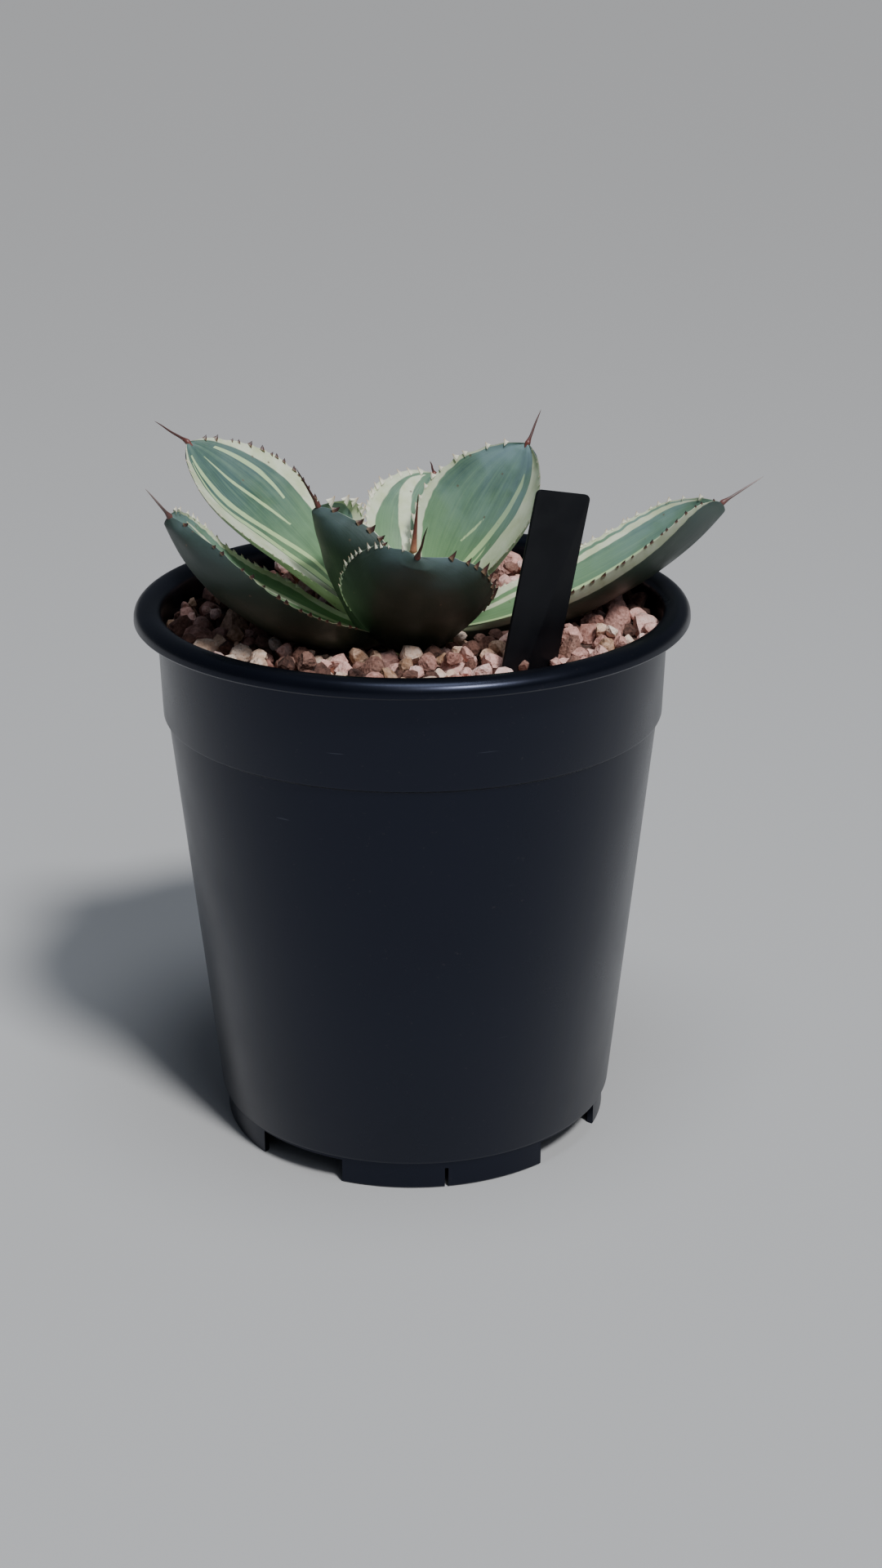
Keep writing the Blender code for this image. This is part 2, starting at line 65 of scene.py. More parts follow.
POT_LOW, POT_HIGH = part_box("pot")
AXIS = Vector(((POT_LOW.x + POT_HIGH.x) / 2, (POT_LOW.y + POT_HIGH.y) / 2, 0.0))
POT_HEIGHT = POT_HIGH.z
RIM_RADIUS = (POT_HIGH.x - POT_LOW.x) / 2
GRAVEL_TOP = POT_HEIGHT - 7.7 * MM
STEM_CENTRE = Vector((-1.0 * MM, -4.0 * MM, 0.0)) + AXIS

# The pot's moulding: heights down from the rim's top, and widths in from its radius
WALL = 1.2 * MM
COLLAR = 25.0 * MM
LIP = 5.2 * MM
NECK_IN = 5.0 * MM
THROAT_IN = 6.2 * MM
BODY_IN = 6.6 * MM
BODY_TAPER = 8.9 * MM
FOOT_HEIGHT = 6.8 * MM
FLOOR_TOP = 9.0 * MM
DRAIN_RADIUS = 3.0 * MM
DRAIN_CIRCLE = 28.0 * MM

# The label: its sizes, how far it is stuck in, how it leans and turns, and where it stands
LABEL_WIDTH = 13.0 * MM
LABEL_THICKNESS = 0.8 * MM
LABEL_LENGTH = 73.0 * MM
LABEL_BURIED = 34.0 * MM
LABEL_LEAN = math.radians(12.2)
LABEL_TURN = math.radians(28.5)
LABEL_FOOT = AXIS + Vector((23.6 * MM, -34.0 * MM, GRAVEL_TOP))
# Across the label's faces, for keeping grit off them
LABEL_NORMAL = Vector((-0.477, 0.879))

# Each leaf's base is placed from the stem's axis and the gravel's surface. Its
# midrib leaves there at an azimuth (from +X, anticlockwise) that drifts by
# `sweep`, and climbs from the first to the second of its two rises. Its section
# is an arc of the two cups, turned by the two rolls. Lengths in mm, angles in
# degrees. `u` runs across a blade from -1 to 1 and `v` along it from 0 to 1.
# `bloom` also sets a painted highlight on the outer face near the tip.
# `deep` is painted shade: how far a blade is darkened beyond its middle.
LEAVES = {
    "leaf_left_low": dict(
        base=(-8, -3.5, 0.5), azimuth=200, sweep=9, rise=(2, 69), length=58,
        half_width=22, widest=0.35, fullness=4.3, cup=(39, 37), roll=(-4, 10),
        spine=(229, 48, 9.5), spine_look="grey", bloom=0.6, deep=0.0),
    "leaf_right_long": dict(
        base=(9, -2, 1), azimuth=21, sweep=-8, rise=(-4, 45), length=70.5,
        half_width=22, widest=0.68, fullness=4.0, cup=(43, 40), roll=(6, 17),
        spine=(22, 26, 11.5), spine_look="grey", bloom=0.5, deep=0.0),
    "leaf_left_back": dict(
        base=(-7.5, 7, 1), azimuth=159, sweep=1, rise=(36, 44), length=57.5,
        half_width=18, widest=0.63, fullness=1.7, cup=(19, 31), roll=(-12, 15),
        spine=(152, 24, 9.5), spine_look="red", bloom=0.3, deep=0.42),
    "leaf_front": dict(
        base=(1, -8.5, -0.5), azimuth=-89, sweep=2, rise=(34, 52), length=42.5,
        half_width=17, widest=0.46, fullness=2.6, cup=(31, 56), roll=(-1, 15),
        spine=(-73, 49, 10.5), spine_look="dark", bloom=0.9, deep=0.0),
    "leaf_right_back": dict(
        base=(5.5, 3, 4), azimuth=36, sweep=-4, rise=(45, 62), length=43,
        half_width=19.5, widest=0.55, fullness=2.0, cup=(34, 36), roll=(7, -9),
        spine=(63, 41, 9.5), spine_look="red", bloom=0.75, deep=0.1),
    "leaf_back": dict(
        base=(1.5, 13, 4), azimuth=83, sweep=-4, rise=(49, 22), length=37.5,
        half_width=13.5, widest=0.51, fullness=2.4, cup=(49, 40), roll=(-2, -1),
        spine=(97, 9, 8), spine_look="red", bloom=0.12, deep=0.0),
    "leaf_left_inner": dict(
        base=(-7, -2, 1), azimuth=198, sweep=-2, rise=(54, 80), length=32,
        half_width=18, widest=0.68, fullness=2.3, cup=(65, 76), roll=(-3, 8),
        spine=(212, 60, 10.5), spine_look="dark", bloom=0.7, deep=0.1),
}

# Variegation: each stripe is a list of (v, lowest u, highest u) from tip to base.
CREAM = {
    "leaf_left_low": [
        [(1, 0.95, 1.1), (0.5, 0.94, 1.1), (0.2, 0.9, 1.1), (0, 0.8, 1.1)],
        [(1, -1.1, -0.985), (0.6, -1.1, -0.975), (0.2, -1.1, -0.95), (0, -1.1, -0.9)],
        [(0.85, 0.84, 0.87), (0.5, 0.78, 0.83), (0.2, 0.62, 0.70), (0, 0.5, 0.6)],
    ],
    "leaf_right_long": [
        [(1, -1.1, -0.97), (0.8, -1.1, -0.965), (0.4, -1.1, -0.94), (0, -1.1, -0.8)],
        [(0.97, -0.94, -0.88), (0.8, -0.935, -0.85), (0.6, -0.91, -0.83), (0.4, -0.86, -0.79),
         (0, -0.72, -0.62)],
        [(1, 0.9, 1.1), (0.75, 0.84, 1.1), (0.45, 0.8, 1.1), (0.2, 0.78, 1.1), (0, 0.7, 1.1)],
    ],
    "leaf_left_back": [
        [(1, -1.1, -0.88), (0.9, -1.1, -0.74), (0.8, -1.1, -0.69), (0.6, -1.1, -0.56),
         (0.5, -1.1, -0.5), (0.42, -1.1, -0.44), (0.2, -1.1, -0.38), (0, -1.1, -0.3)],
        [(1, 0.92, 1.1), (0.9, 0.82, 1.1), (0.8, 0.79, 1.1), (0.7, 0.8, 1.1), (0.6, 0.82, 1.1),
         (0.5, 0.85, 1.1), (0, 0.8, 1.1)],
    ],
    "leaf_front": [
        [(1, -1.1, -0.98), (0.7, -1.1, -0.965), (0.3, -1.1, -0.9), (0, -1.1, -0.8)],
        [(1, 0.985, 1.1), (0.6, 0.97, 1.1), (0.3, 0.86, 1.1), (0, 0.75, 1.1)],
    ],
    "leaf_right_back": [
        [(1, 0.72, 1.1), (0.9, 0.58, 1.1), (0.8, 0.53, 1.1), (0.62, 0.45, 1.1),
         (0.5, 0.36, 1.1), (0.35, 0.3, 1.1), (0, 0.3, 1.1)],
        [(1, -1.1, -0.96), (0.8, -1.1, -0.93), (0.6, -1.1, -0.9), (0.4, -1.1, -0.88),
         (0, -1.1, -0.75)],
    ],
    "leaf_back": [
        [(1, -1.1, -0.9), (0.9, -1.1, -0.84), (0.8, -1.1, -0.8), (0.7, -1.1, -0.77),
         (0.6, -1.1, -0.79), (0.5, -1.1, -0.84), (0.4, -1.1, -0.85), (0, -1.1, -0.7)],
        [(0.97, -0.72, -0.60), (0.9, -0.74, -0.42), (0.8, -0.65, -0.37), (0.7, -0.54, -0.3),
         (0.6, -0.47, -0.24), (0.5, -0.42, -0.21), (0.4, -0.35, -0.18), (0, -0.3, -0.1)],
        [(1, 0.9, 1.1), (0.7, 0.72, 1.1), (0.4, 0.6, 1.1), (0, 0.5, 1.1)],
        [(0.85, 0.32, 0.34), (0.7, 0.26, 0.38), (0.4, 0.2, 0.34), (0, 0.15, 0.25)],
    ],
    "leaf_left_inner": [
        [(1, 0.9, 1.1), (0.8, 0.86, 1.1), (0.5, 0.84, 1.1), (0, 0.7, 1.1)],
        [(1, -1.1, -0.96), (0.6, -1.1, -0.95), (0, -1.1, -0.8)],
        [(0.95, 0.62, 0.64), (0.8, 0.6, 0.66), (0.5, 0.62, 0.7), (0, 0.5, 0.6)],
    ],
}
PALE = {
    "leaf_left_low": [
        [(0.9, 0.6, 0.63), (0.6, 0.5, 0.6), (0.3, 0.2, 0.35), (0, 0.1, 0.25)],
        [(0.9, -0.9, -0.87), (0.6, -0.86, -0.8), (0.3, -0.8, -0.7), (0, -0.6, -0.5)],
        [(0.7, -0.62, -0.6), (0.5, -0.62, -0.56), (0.2, -0.5, -0.42)],
    ],
    "leaf_right_long": [
        [(0.9, -0.5, -0.48), (0.6, -0.45, -0.35), (0.3, -0.4, -0.25), (0, -0.3, -0.2)],
        [(0.8, 0.5, 0.52), (0.5, 0.5, 0.6), (0.2, 0.45, 0.55), (0, 0.4, 0.5)],
    ],
    "leaf_left_back": [
        [(0.92, 0.0, 0.03), (0.8, 0.03, 0.095), (0.62, 0.18, 0.245), (0.5, 0.325, 0.36)],
        [(0.93, 0.55, 0.66), (0.75, 0.57, 0.655), (0.6, 0.56, 0.6)],
        [(0.92, -0.67, -0.63), (0.8, -0.66, -0.6), (0.6, -0.535, -0.43),
         (0.42, -0.41, -0.24), (0.3, -0.34, -0.12), (0, -0.3, -0.08)],
        [(0.95, -0.6, -0.5), (0.85, -0.55, -0.42), (0.7, -0.43, -0.3), (0.6, -0.34, -0.21),
         (0.5, -0.17, -0.04), (0.42, -0.06, 0.07), (0.33, 0.06, 0.17), (0, 0.12, 0.22)],
    ],
    "leaf_front": [],
    "leaf_right_back": [
        [(0.85, 0.31, 0.33), (0.78, 0.27, 0.36), (0.62, 0.19, 0.29), (0.42, 0.05, 0.16),
         (0.3, -0.03, 0.08), (0, -0.1, 0.0)],
        [(0.56, -0.1, -0.08), (0.48, -0.19, -0.14), (0.40, -0.28, -0.25)],
        [(0.45, 0.22, 0.235), (0.38, 0.19, 0.225), (0.2, 0.12, 0.16)],
    ],
    "leaf_back": [
        [(0.9, -0.1, -0.09), (0.6, -0.12, -0.06), (0.3, -0.1, -0.05)],
    ],
    "leaf_left_inner": [
        [(0.9, 0.3, 0.31), (0.7, 0.3, 0.38), (0.4, 0.3, 0.4), (0.1, 0.3, 0.35)],
    ],
}

# Teeth along the two margins of a leaf: the side (-1 or 1), first and last v,
# how many, length in mm, and 1 for dark horn or 0 for pale new teeth
TEETH = {
    "leaf_left_low": [(-1, 0.2, 0.97, 15, 1.2, 1), (1, 0.2, 0.96, 17, 1.2, 0)],
    "leaf_right_long": [(-1, 0.15, 0.97, 26, 1.2, 0), (1, 0.2, 0.97, 20, 0.9, 1)],
    "leaf_left_back": [(-1, 0.2, 0.97, 18, 0.8, 0), (1, 0.2, 0.97, 24, 1.1, 1)],
    "leaf_front": [(1, 0.25, 0.97, 19, 1.4, 0), (-1, 0.3, 0.93, 10, 2.3, 1)],
    "leaf_right_back": [(-1, 0.15, 0.97, 14, 1.4, 0), (1, 0.2, 0.97, 16, 0.7, 0)],
    "leaf_back": [(-1, 0.1, 0.97, 18, 1.6, 0), (1, 0.1, 0.97, 16, 1.4, 0)],
    "leaf_left_inner": [(-1, 0.2, 0.97, 14, 1.6, 1), (1, 0.2, 0.97, 14, 1.8, 0)],
}
NECK_SHARE = 0.3
TIP_CURVE = 0.8
BLADE_THICKNESS = 2.6 * MM
MARGIN_THICKNESS = 0.42 * MM
LEAF_SIDES = 176
LEAF_RINGS = 130

SKIN_FIELDS = ("cream_mm", "pale_mm", "along", "across", "inner", "bloom_and_highlight", "painted_leaf_shade")
GRIT_LOOKS = ("pink", "tan", "pink", "brown")


def linear(hex_colour):
    """An sRGB hex colour as linear RGBA."""
    channels = [int(hex_colour[i:i + 2], 16) / 255 for i in (1, 3, 5)]
    return tuple(
        c / 12.92 if c <= 0.04045 else ((c + 0.055) / 1.055) ** 2.4 for c in channels) + (1.0,)


def blend(a, b, share):
    return a + (b - a) * share


def colour_property(name, description, hex_colour):
    return bpy.props.FloatVectorProperty(
        name=name, description=description, subtype="COLOR", size=4, min=0.0, max=1.0,
        default=linear(hex_colour))


def length_property(name, description, millimetres):
    return bpy.props.FloatProperty(
        name=name, description=description, subtype="DISTANCE", unit="LENGTH",
        precision=5, min=0.0, default=millimetres * MM)


# ---------------------------------------------------------------- materials


def connect(tree, node, values=(), links=()):
    """Set a node's sockets and link to others; a source given as a node lends its first output."""
    for socket, value in dict(values).items():
        node.inputs[socket].default_value = value
    for socket, source in dict(links).items():
        if isinstance(source, bpy.types.Node):
            source = next(output for output in source.outputs if output.enabled)
        tree.links.new(source, node.inputs[socket])


def add(tree, kind, values=(), links=(), stops=(), **settings):
    """Add a node with its settings, its sockets' values, its links and any ramp stops."""
    made = tree.nodes.new("ShaderNode" + kind)
    for key, value in settings.items():
        setattr(made, key, value)
    connect(tree, made, values, links)
    for i, (position, colour) in enumerate(stops):
        elements = made.color_ramp.elements
        stop = elements[i] if i < 2 else elements.new(position)
        stop.position = position
        stop.color = colour
    return made


def coat(tree, under, over, source, low, high, most, interpolation="LINEAR"):
    """Lay a colour over another, from none where the source is low to most where it is high."""
    share = add(
        tree, "MapRange", {"From Min": low, "From Max": high, "To Max": most},
        {"Value": source}, interpolation_type=interpolation)
    linked = isinstance(over, bpy.types.Node)
    return add(
        tree, "Mix", {} if linked else {"B": over},
        {"Factor": share, "A": under, **({"B": over} if linked else {})}, data_type="RGBA")


def new_material(name):
    """A material with its tree cleared down to the shader, and the object's own coordinates."""
    made = bpy.data.materials.new(name)
    made.use_nodes = True
    tree = made.node_tree
    return made, tree, tree.nodes["Principled BSDF"], add(tree, "TexCoord").outputs["Object"]


def per_mm(size_mm):
    """Texture scale for a feature of this size, since coordinates are in metres."""
    return 1.0 / (size_mm * MM)


def leaf_skin(settings):
    """Agave leaf: smooth firm skin under a matt wax bloom, with cream chimeral stripes.

    The bloom makes it blue-grey and dulls its gloss; the stripes have thin soft edges.
    """
    made, tree, shader, place = new_material("agave_leaf_waxy_skin")
    cream_mm, pale_mm, along, across, inner, bloom_and_highlight, painted_leaf_shade = (
        add(tree, "Attribute", attribute_name=name).outputs["Fac"] for name in SKIN_FIELDS)
    # Veins run along the leaf, about 0.6 mm apart and many times as long.
    flow = add(tree, "CombineXYZ", links={"X": across, "Y": along})
    vein_map = add(tree, "Mapping", {"Scale": (34.0, 2.2, 1.0)}, {"Vector": flow})
    veins = add(
        tree, "TexNoise", {"Scale": 1.0, "Detail": 3.0, "Roughness": 0.6}, {"Vector": vein_map})
    band_map = add(tree, "Mapping", {"Scale": (7.0, 1.6, 1.0)}, {"Vector": flow})
    bands = add(tree, "TexNoise", {"Scale": 1.0, "Detail": 2.0}, {"Vector": band_map})
    mottle = add(
        tree, "TexNoise", {"Scale": per_mm(5.0), "Detail": 4.0, "Roughness": 0.55},
        {"Vector": place})
    bloom = add(
        tree, "TexNoise", {"Scale": per_mm(11.0), "Detail": 5.0, "Distortion": 0.6},
        {"Vector": place})
    grain = add(tree, "TexNoise", {"Scale": per_mm(0.35), "Detail": 2.0}, {"Vector": place})
    # Painted shade: some blades are pushed towards the deep green beyond their middle.
    depth = add(tree, "Math", links={0: bands, 1: painted_leaf_shade}, operation="SUBTRACT")
    clouded = add(tree, "Math", {1: 0.9}, {0: mottle, 2: depth}, operation="MULTIPLY_ADD")
    greens = add(
        tree, "ValToRGB", links={"Fac": clouded},
        stops=((0.5, settings.deep_green_and_shade), (1.0, settings.green)))
    # The blade is yellower towards its shaded base; its outer face is darkened with painted shade.
    based = coat(tree, greens, settings.base_green, along, 0.75, 0.05, 0.75)
    veined = coat(tree, based, settings.pale_green, veins, 0.45, 0.75, 0.13)
    outer_face_shaded = coat(tree, veined, settings.outer_green_and_shade, inner, 0.9, 0.1, 0.94)
    # Bloom gathers in clouds where the leaf carries it; near the tip's edges on the outer face it
    # is also a painted highlight.
    bloom_share = add(
        tree, "MapRange", {"From Min": 0.36, "From Max": 0.64, "To Min": 0.25, "To Max": 1.0},
        {"Value": bloom})
    tip_share = add(tree, "Math", links={0: bloom_and_highlight, 1: bloom_share}, operation="MULTIPLY")
    # The stripes' edges wander by up to a tenth of a millimetre.
    wander = add(
        tree, "MapRange", {"From Min": 0.3, "From Max": 0.7, "To Min": -0.09, "To Max": 0.09},
        {"Value": veins})
    pale_edge = add(tree, "Math", links={0: pale_mm, 1: wander}, operation="ADD")
    striped = coat(tree, outer_face_shaded, settings.pale_green, pale_edge, -0.12, 0.12, 0.9, "SMOOTHSTEP")
    tipped = add(
        tree, "Mix", {"B": settings.bloom}, {"Factor": tip_share, "A": striped},
        data_type="RGBA")
    cream_edge = add(tree, "Math", links={0: cream_mm, 1: wander}, operation="ADD")
    cream_tones = add(
        tree, "ValToRGB", links={"Fac": mottle},
        stops=((0.35, settings.cream_shade), (0.6, settings.cream)))
    creamed = coat(tree, tipped, cream_tones, cream_edge, -0.15, 0.15, 0.95, "SMOOTHSTEP")
    # Painted shade darkens the cream on the outer face as well.
    cream_outer_shaded = coat(tree, creamed, settings.outer_green_and_shade, inner, 0.45, 0.0, 0.45)
    # Corky specks about half a millimetre across
    specks = add(tree, "TexVoronoi", {"Scale": per_mm(4.5), "Randomness": 1.0}, {"Vector": place})
    specked = coat(tree, cream_outer_shaded, settings.speck, specks, 0.085, 0.04, 0.75)
    gloss = add(
        tree, "MapRange", {"From Min": 0.3, "From Max": 0.7, "To Min": 0.38, "To Max": 0.62},
        {"Value": bloom})
    relief = add(tree, "Math", {1: 0.5}, {0: grain, 2: veins}, operation="MULTIPLY_ADD")
    bump = add(tree, "Bump", {"Strength": 0.35, "Distance": 0.12 * MM}, {"Height": relief})
    connect(tree, shader, {
        "Subsurface Weight": 0.06, "Subsurface Radius": (0.6, 1.0, 0.35),
        "Subsurface Scale": 1.2 * MM,
    }, {"Base Color": specked, "Roughness": gloss, "Normal": bump})
    return made


def horn(name, base_colour, middle_colour, tip_colour):
    """Spine or tooth: hard dry horn, satin, darkening or greying towards the point."""
    made, tree, shader, place = new_material(name)
    along = add(tree, "Attribute", attribute_name="along").outputs["Fac"]
    fibres = add(tree, "TexNoise", {"Scale": per_mm(0.5), "Detail": 3.0}, {"Vector": place})
    shifted = add(tree, "Math", {1: 0.25, 2: -0.12}, {0: fibres}, operation="MULTIPLY_ADD")
    moved = add(tree, "Math", links={0: along, 1: shifted}, operation="ADD")
    tones = add(
        tree, "ValToRGB", links={"Fac": moved},
        stops=((0.04, base_colour), (1.0, tip_colour), (0.35, middle_colour)))
    bump = add(tree, "Bump", {"Strength": 0.3, "Distance": 0.08 * MM}, {"Height": fibres})
    connect(tree, shader, {"Roughness": 0.42}, {"Base Color": tones, "Normal": bump})
    return made


def pot_plastic(settings):
    """Injection-moulded polypropylene, satin black: even, faintly waxy, with fine scuffs."""
    made, tree, shader, place = new_material("moulded_black_polypropylene")
    grain = add(tree, "TexNoise", {"Scale": per_mm(0.7), "Detail": 2.0}, {"Vector": place})
    clouds = add(tree, "TexNoise", {"Scale": per_mm(26.0), "Detail": 4.0}, {"Vector": place})
    tones = add(
        tree, "Mix", {"A": settings.plastic, "B": settings.plastic_haze}, {"Factor": clouds},
        data_type="RGBA")
    # Long thin scratches, drawn coarser than the real ones so that they show
    scuff_map = add(
        tree, "Mapping", {"Rotation": (0.4, 1.1, 0.3), "Scale": (1.0, 9.0, 60.0)},
        {"Vector": place})
    scuffs = add(
        tree, "TexNoise", {"Scale": per_mm(55.0), "Detail": 1.0, "Distortion": 0.3},
        {"Vector": scuff_map})
    scuffed = coat(tree, tones, settings.scuff, scuffs, 0.80, 0.83, 0.8)
    dust = add(
        tree, "TexNoise", {"Scale": per_mm(1.1), "Detail": 3.0, "Roughness": 0.7},
        {"Vector": place})
    dusted = coat(tree, scuffed, settings.dust, dust, 0.66, 0.76, 0.22)
    gloss = add(
        tree, "MapRange", {"From Min": 0.3, "From Max": 0.7, "To Min": 0.25, "To Max": 0.36},
        {"Value": clouds})
    bump = add(tree, "Bump", {"Strength": 0.12, "Distance": 0.05 * MM}, {"Height": grain})
    connect(
        tree, shader, {"IOR": 1.49, "Specular Tint": linear("#c2ccf2")},
        {"Base Color": dusted, "Roughness": gloss, "Normal": bump})
    return made


def label_plastic(settings):
    """Die-cut polystyrene strip, black, satin on both faces, with handling marks."""
    made, tree, shader, place = new_material("black_polystyrene_strip")
    marks = add(tree, "TexNoise", {"Scale": per_mm(6.0), "Detail": 5.0}, {"Vector": place})
    tones = add(
        tree, "Mix", {"A": settings.plastic, "B": settings.plastic_haze}, {"Factor": marks},
        data_type="RGBA")
    gloss = add(
        tree, "MapRange", {"From Min": 0.35, "From Max": 0.65, "To Min": 0.42, "To Max": 0.56},
        {"Value": marks})
    bump = add(tree, "Bump", {"Strength": 0.08, "Distance": 0.05 * MM}, {"Height": marks})
    connect(
        tree, shader, {"IOR": 1.5, "Specular IOR Level": 0.3},
        {"Base Color": tones, "Roughness": gloss, "Normal": bump})
    return made


def grit_stone(name, dark, middle, light):
    """Crushed pumice and lava: matt, porous, each stone its own tone, pores 0.3 to 0.8 mm."""
    made, tree, shader, place = new_material(name)
    tint = add(tree, "Attribute", attribute_name="tint").outputs["Fac"]
    patches = add(
        tree, "TexNoise", {"Scale": per_mm(1.6), "Detail": 5.0, "Roughness": 0.65},
        {"Vector": place})
    crumbs = add(tree, "TexNoise", {"Scale": per_mm(0.35), "Detail": 3.0}, {"Vector": place})
    pores = add(tree, "TexVoronoi", {"Scale": per_mm(0.8), "Randomness": 1.0}, {"Vector": place})
    tone = add(tree, "Math", {1: 0.75}, {0: patches, 2: tint}, operation="MULTIPLY_ADD")
    tones = add(
        tree, "ValToRGB", links={"Fac": tone},
        stops=((0.25, dark), (0.85, light), (0.55, middle)))
    # Painted shade: the pores are darkened towards the dark tone.
    pores_shaded = coat(tree, tones, dark, pores, 0.26, 0.1, 0.6)
    depth = add(tree, "Math", {1: 0.5}, {0: crumbs, 2: pores}, operation="MULTIPLY_ADD")
    bump = add(tree, "Bump", {"Strength": 0.9, "Distance": 0.3 * MM}, {"Height": depth})
    connect(tree, shader, {"Roughness": 0.92}, {"Base Color": pores_shaded, "Normal": bump})
    return made


def loose_ground(name, dark, light, grain_mm):
    """Packed fine grit or bark mix: matt, crumbly, with deep gaps between its grains, painted
    darker as shade.
    """
    made, tree, shader, place = new_material(name)
    grains = add(
        tree, "TexVoronoi", {"Scale": per_mm(grain_mm), "Randomness": 1.0}, {"Vector": place})
    crumbs = add(
        tree, "TexNoise", {"Scale": per_mm(grain_mm / 3), "Detail": 4.0}, {"Vector": place})
    # Painted shade: darker towards the gaps between grains, which the bump also sinks.
    tones = add(
        tree, "Mix", {"A": light, "B": dark}, {"Factor": grains}, data_type="RGBA")
    shaded = add(
        tree, "Mix", {"B": dark}, {"Factor": crumbs, "A": tones}, data_type="RGBA")
    bump = add(
        tree, "Bump", {"Strength": 1.0, "Distance": grain_mm * 0.4 * MM}, {"Height": grains},
        invert=True)
    connect(tree, shader, {"Roughness": 0.95}, {"Base Color": shaded, "Normal": bump})
    return made


def studio_paper(colour):
    """Seamless backdrop paper: matt and even, with a trace of tooth."""
    made, tree, shader, place = new_material("matt_backdrop_paper")
    tooth = add(tree, "TexNoise", {"Scale": per_mm(1.5), "Detail": 3.0}, {"Vector": place})
    bump = add(tree, "Bump", {"Strength": 0.05, "Distance": 0.1 * MM}, {"Height": tooth})
    connect(tree, shader, {"Base Color": colour, "Roughness": 0.9}, {"Normal": bump})
    return made


# ---------------------------------------------------------------- modelling helpers


def start_clean():
    """Object mode, nothing selected."""
    if bpy.context.object and bpy.context.object.mode != "OBJECT":
        bpy.ops.object.mode_set(mode="OBJECT")
    bpy.ops.object.select_all(action="DESELECT")


def take(name):
    """The primitive just added, under its own name."""
    piece = bpy.context.object
    piece.name = name
    piece.data.name = name
    return piece


def coordinates(piece):
    flat = np.zeros(len(piece.data.vertices) * 3)
    piece.data.vertices.foreach_get("co", flat)
    return flat.reshape(-1, 3)


def set_coordinates(piece, places):
    piece.data.vertices.foreach_set("co", np.asarray(places, float).reshape(-1))
    piece.data.update()


def set_attribute(piece, name, values):
    layer = piece.data.attributes.get(name) or piece.data.attributes.new(name, "FLOAT", "POINT")
    layer.data.foreach_set("value", np.asarray(values, np.float32))


def only(piece):
    start_clean()
    piece.select_set(True)
    bpy.context.view_layer.objects.active = piece


def settle_place(piece):
    """Put the object's place into its mesh."""
    only(piece)
    bpy.ops.object.transform_apply(location=True, rotation=True, scale=True)


def join(pieces, name):
    """Join pieces into the first one."""
    start_clean()
    for piece in pieces:
        piece.select_set(True)
    bpy.context.view_layer.objects.active = pieces[0]
    bpy.ops.object.join()
    return take(name)


def smooth(piece, degrees):
    only(piece)
    bpy.ops.object.shade_smooth_by_angle(angle=math.radians(degrees))


def spindle(name, segments, rings):
    """A UV sphere to be laid out along a path, with each vertex's angle and ring number."""
    start_clean()
    bpy.ops.mesh.primitive_uv_sphere_add(segments=segments, ring_count=rings + 1, radius=1.0)
    piece = take(name)
    layout = []
    for x, y, z in coordinates(piece):
        ring = round(math.acos(max(-1.0, min(1.0, -z))) / math.pi * (rings + 1))
        layout.append((math.atan2(y, x), ring))
    return piece, layout


def finish(piece, look, slot, *replaced):
    """Give a piece its material and body, and hide the CAD nodes that it stands for; its slot is
    not used.
    """
    if look is not None:
        piece.data.materials.clear()
        piece.data.materials.append(look)
    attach(piece, BODY)
    if replaced:
        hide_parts(*replaced)


# ---------------------------------------------------------------- leaf shape


def direction(azimuth, rise):
    az = math.radians(azimuth)
    el = math.radians(rise)
    return Vector((math.cos(el) * math.cos(az), math.cos(el) * math.sin(az), math.sin(el)))


class Blade:
    """One leaf's middle surface, as a function of v and u."""

    STEPS = 48

    def __init__(self, leaf):
        self.leaf = leaf
        root = STEM_CENTRE + Vector((0.0, 0.0, GRAVEL_TOP))
        self.places = [root + Vector(leaf["base"]) * MM]
        for i in range(self.STEPS):
            along = (i + 0.5) / self.STEPS
            step = self.heading(along) * leaf["length"] * MM / self.STEPS
            self.places.append(self.places[-1] + step)

    @functools.lru_cache(maxsize=None)
    def heading(self, v):
        leaf = self.leaf
        return direction(leaf["azimuth"] + leaf["sweep"] * v, blend(*leaf["rise"], v))

    @functools.lru_cache(maxsize=None)
    def middle(self, v):
        at = v * self.STEPS
        i = min(int(at), self.STEPS - 1)
        return self.places[i].lerp(self.places[i + 1], at - i)

    @functools.lru_cache(maxsize=None)
    def axes(self, v):
        ahead = self.heading(v)
        side = ahead.cross(Vector((0, 0, 1))).normalized()
        up = side.cross(ahead)
        roll = math.radians(blend(*self.leaf["roll"], v))
        return (side * math.cos(roll) + up * math.sin(roll),
                up * math.cos(roll) - side * math.sin(roll))

    @functools.lru_cache(maxsize=None)
    def half_width(self, v):
        widest = self.leaf["widest"]
        if v < widest:
            share = blend(NECK_SHARE, 1.0, math.sin(math.pi / 2 * v / widest))
        else:
            past = (v - widest) / (1 - widest)
            share = (1 - past ** self.leaf["fullness"]) ** TIP_CURVE
        return self.leaf["half_width"] * MM * share

    def point(self, v, u):
        side, up = self.axes(v)
        cup = math.radians(blend(*self.leaf["cup"], v))
        bend = cup * u
        across = side * math.sin(bend) + up * (1 - math.cos(bend))
        normal = up * math.cos(bend) - side * math.sin(bend)
        outward = side * math.cos(bend) + up * math.sin(bend)
        return self.middle(v) + across * (self.half_width(v) / cup), normal, outward


def stripe_distance(stripes, u, v, half_width_mm):
    """How far inside the nearest stripe a place lies, in mm; negative outside all of them."""
    best = -4.0
    for stripe in stripes:
        if not stripe[-1][0] <= v <= stripe[0][0]:
            continue
        for (high, low_a, high_a), (low, low_b, high_b) in zip(stripe, stripe[1:]):
            if low <= v <= high:
                share = (high - v) / (high - low)
                left = blend(low_a, low_b, share)
                right = blend(high_a, high_b, share)
                best = max(best, min(u - left, right - u) * half_width_mm)
                break
    return best


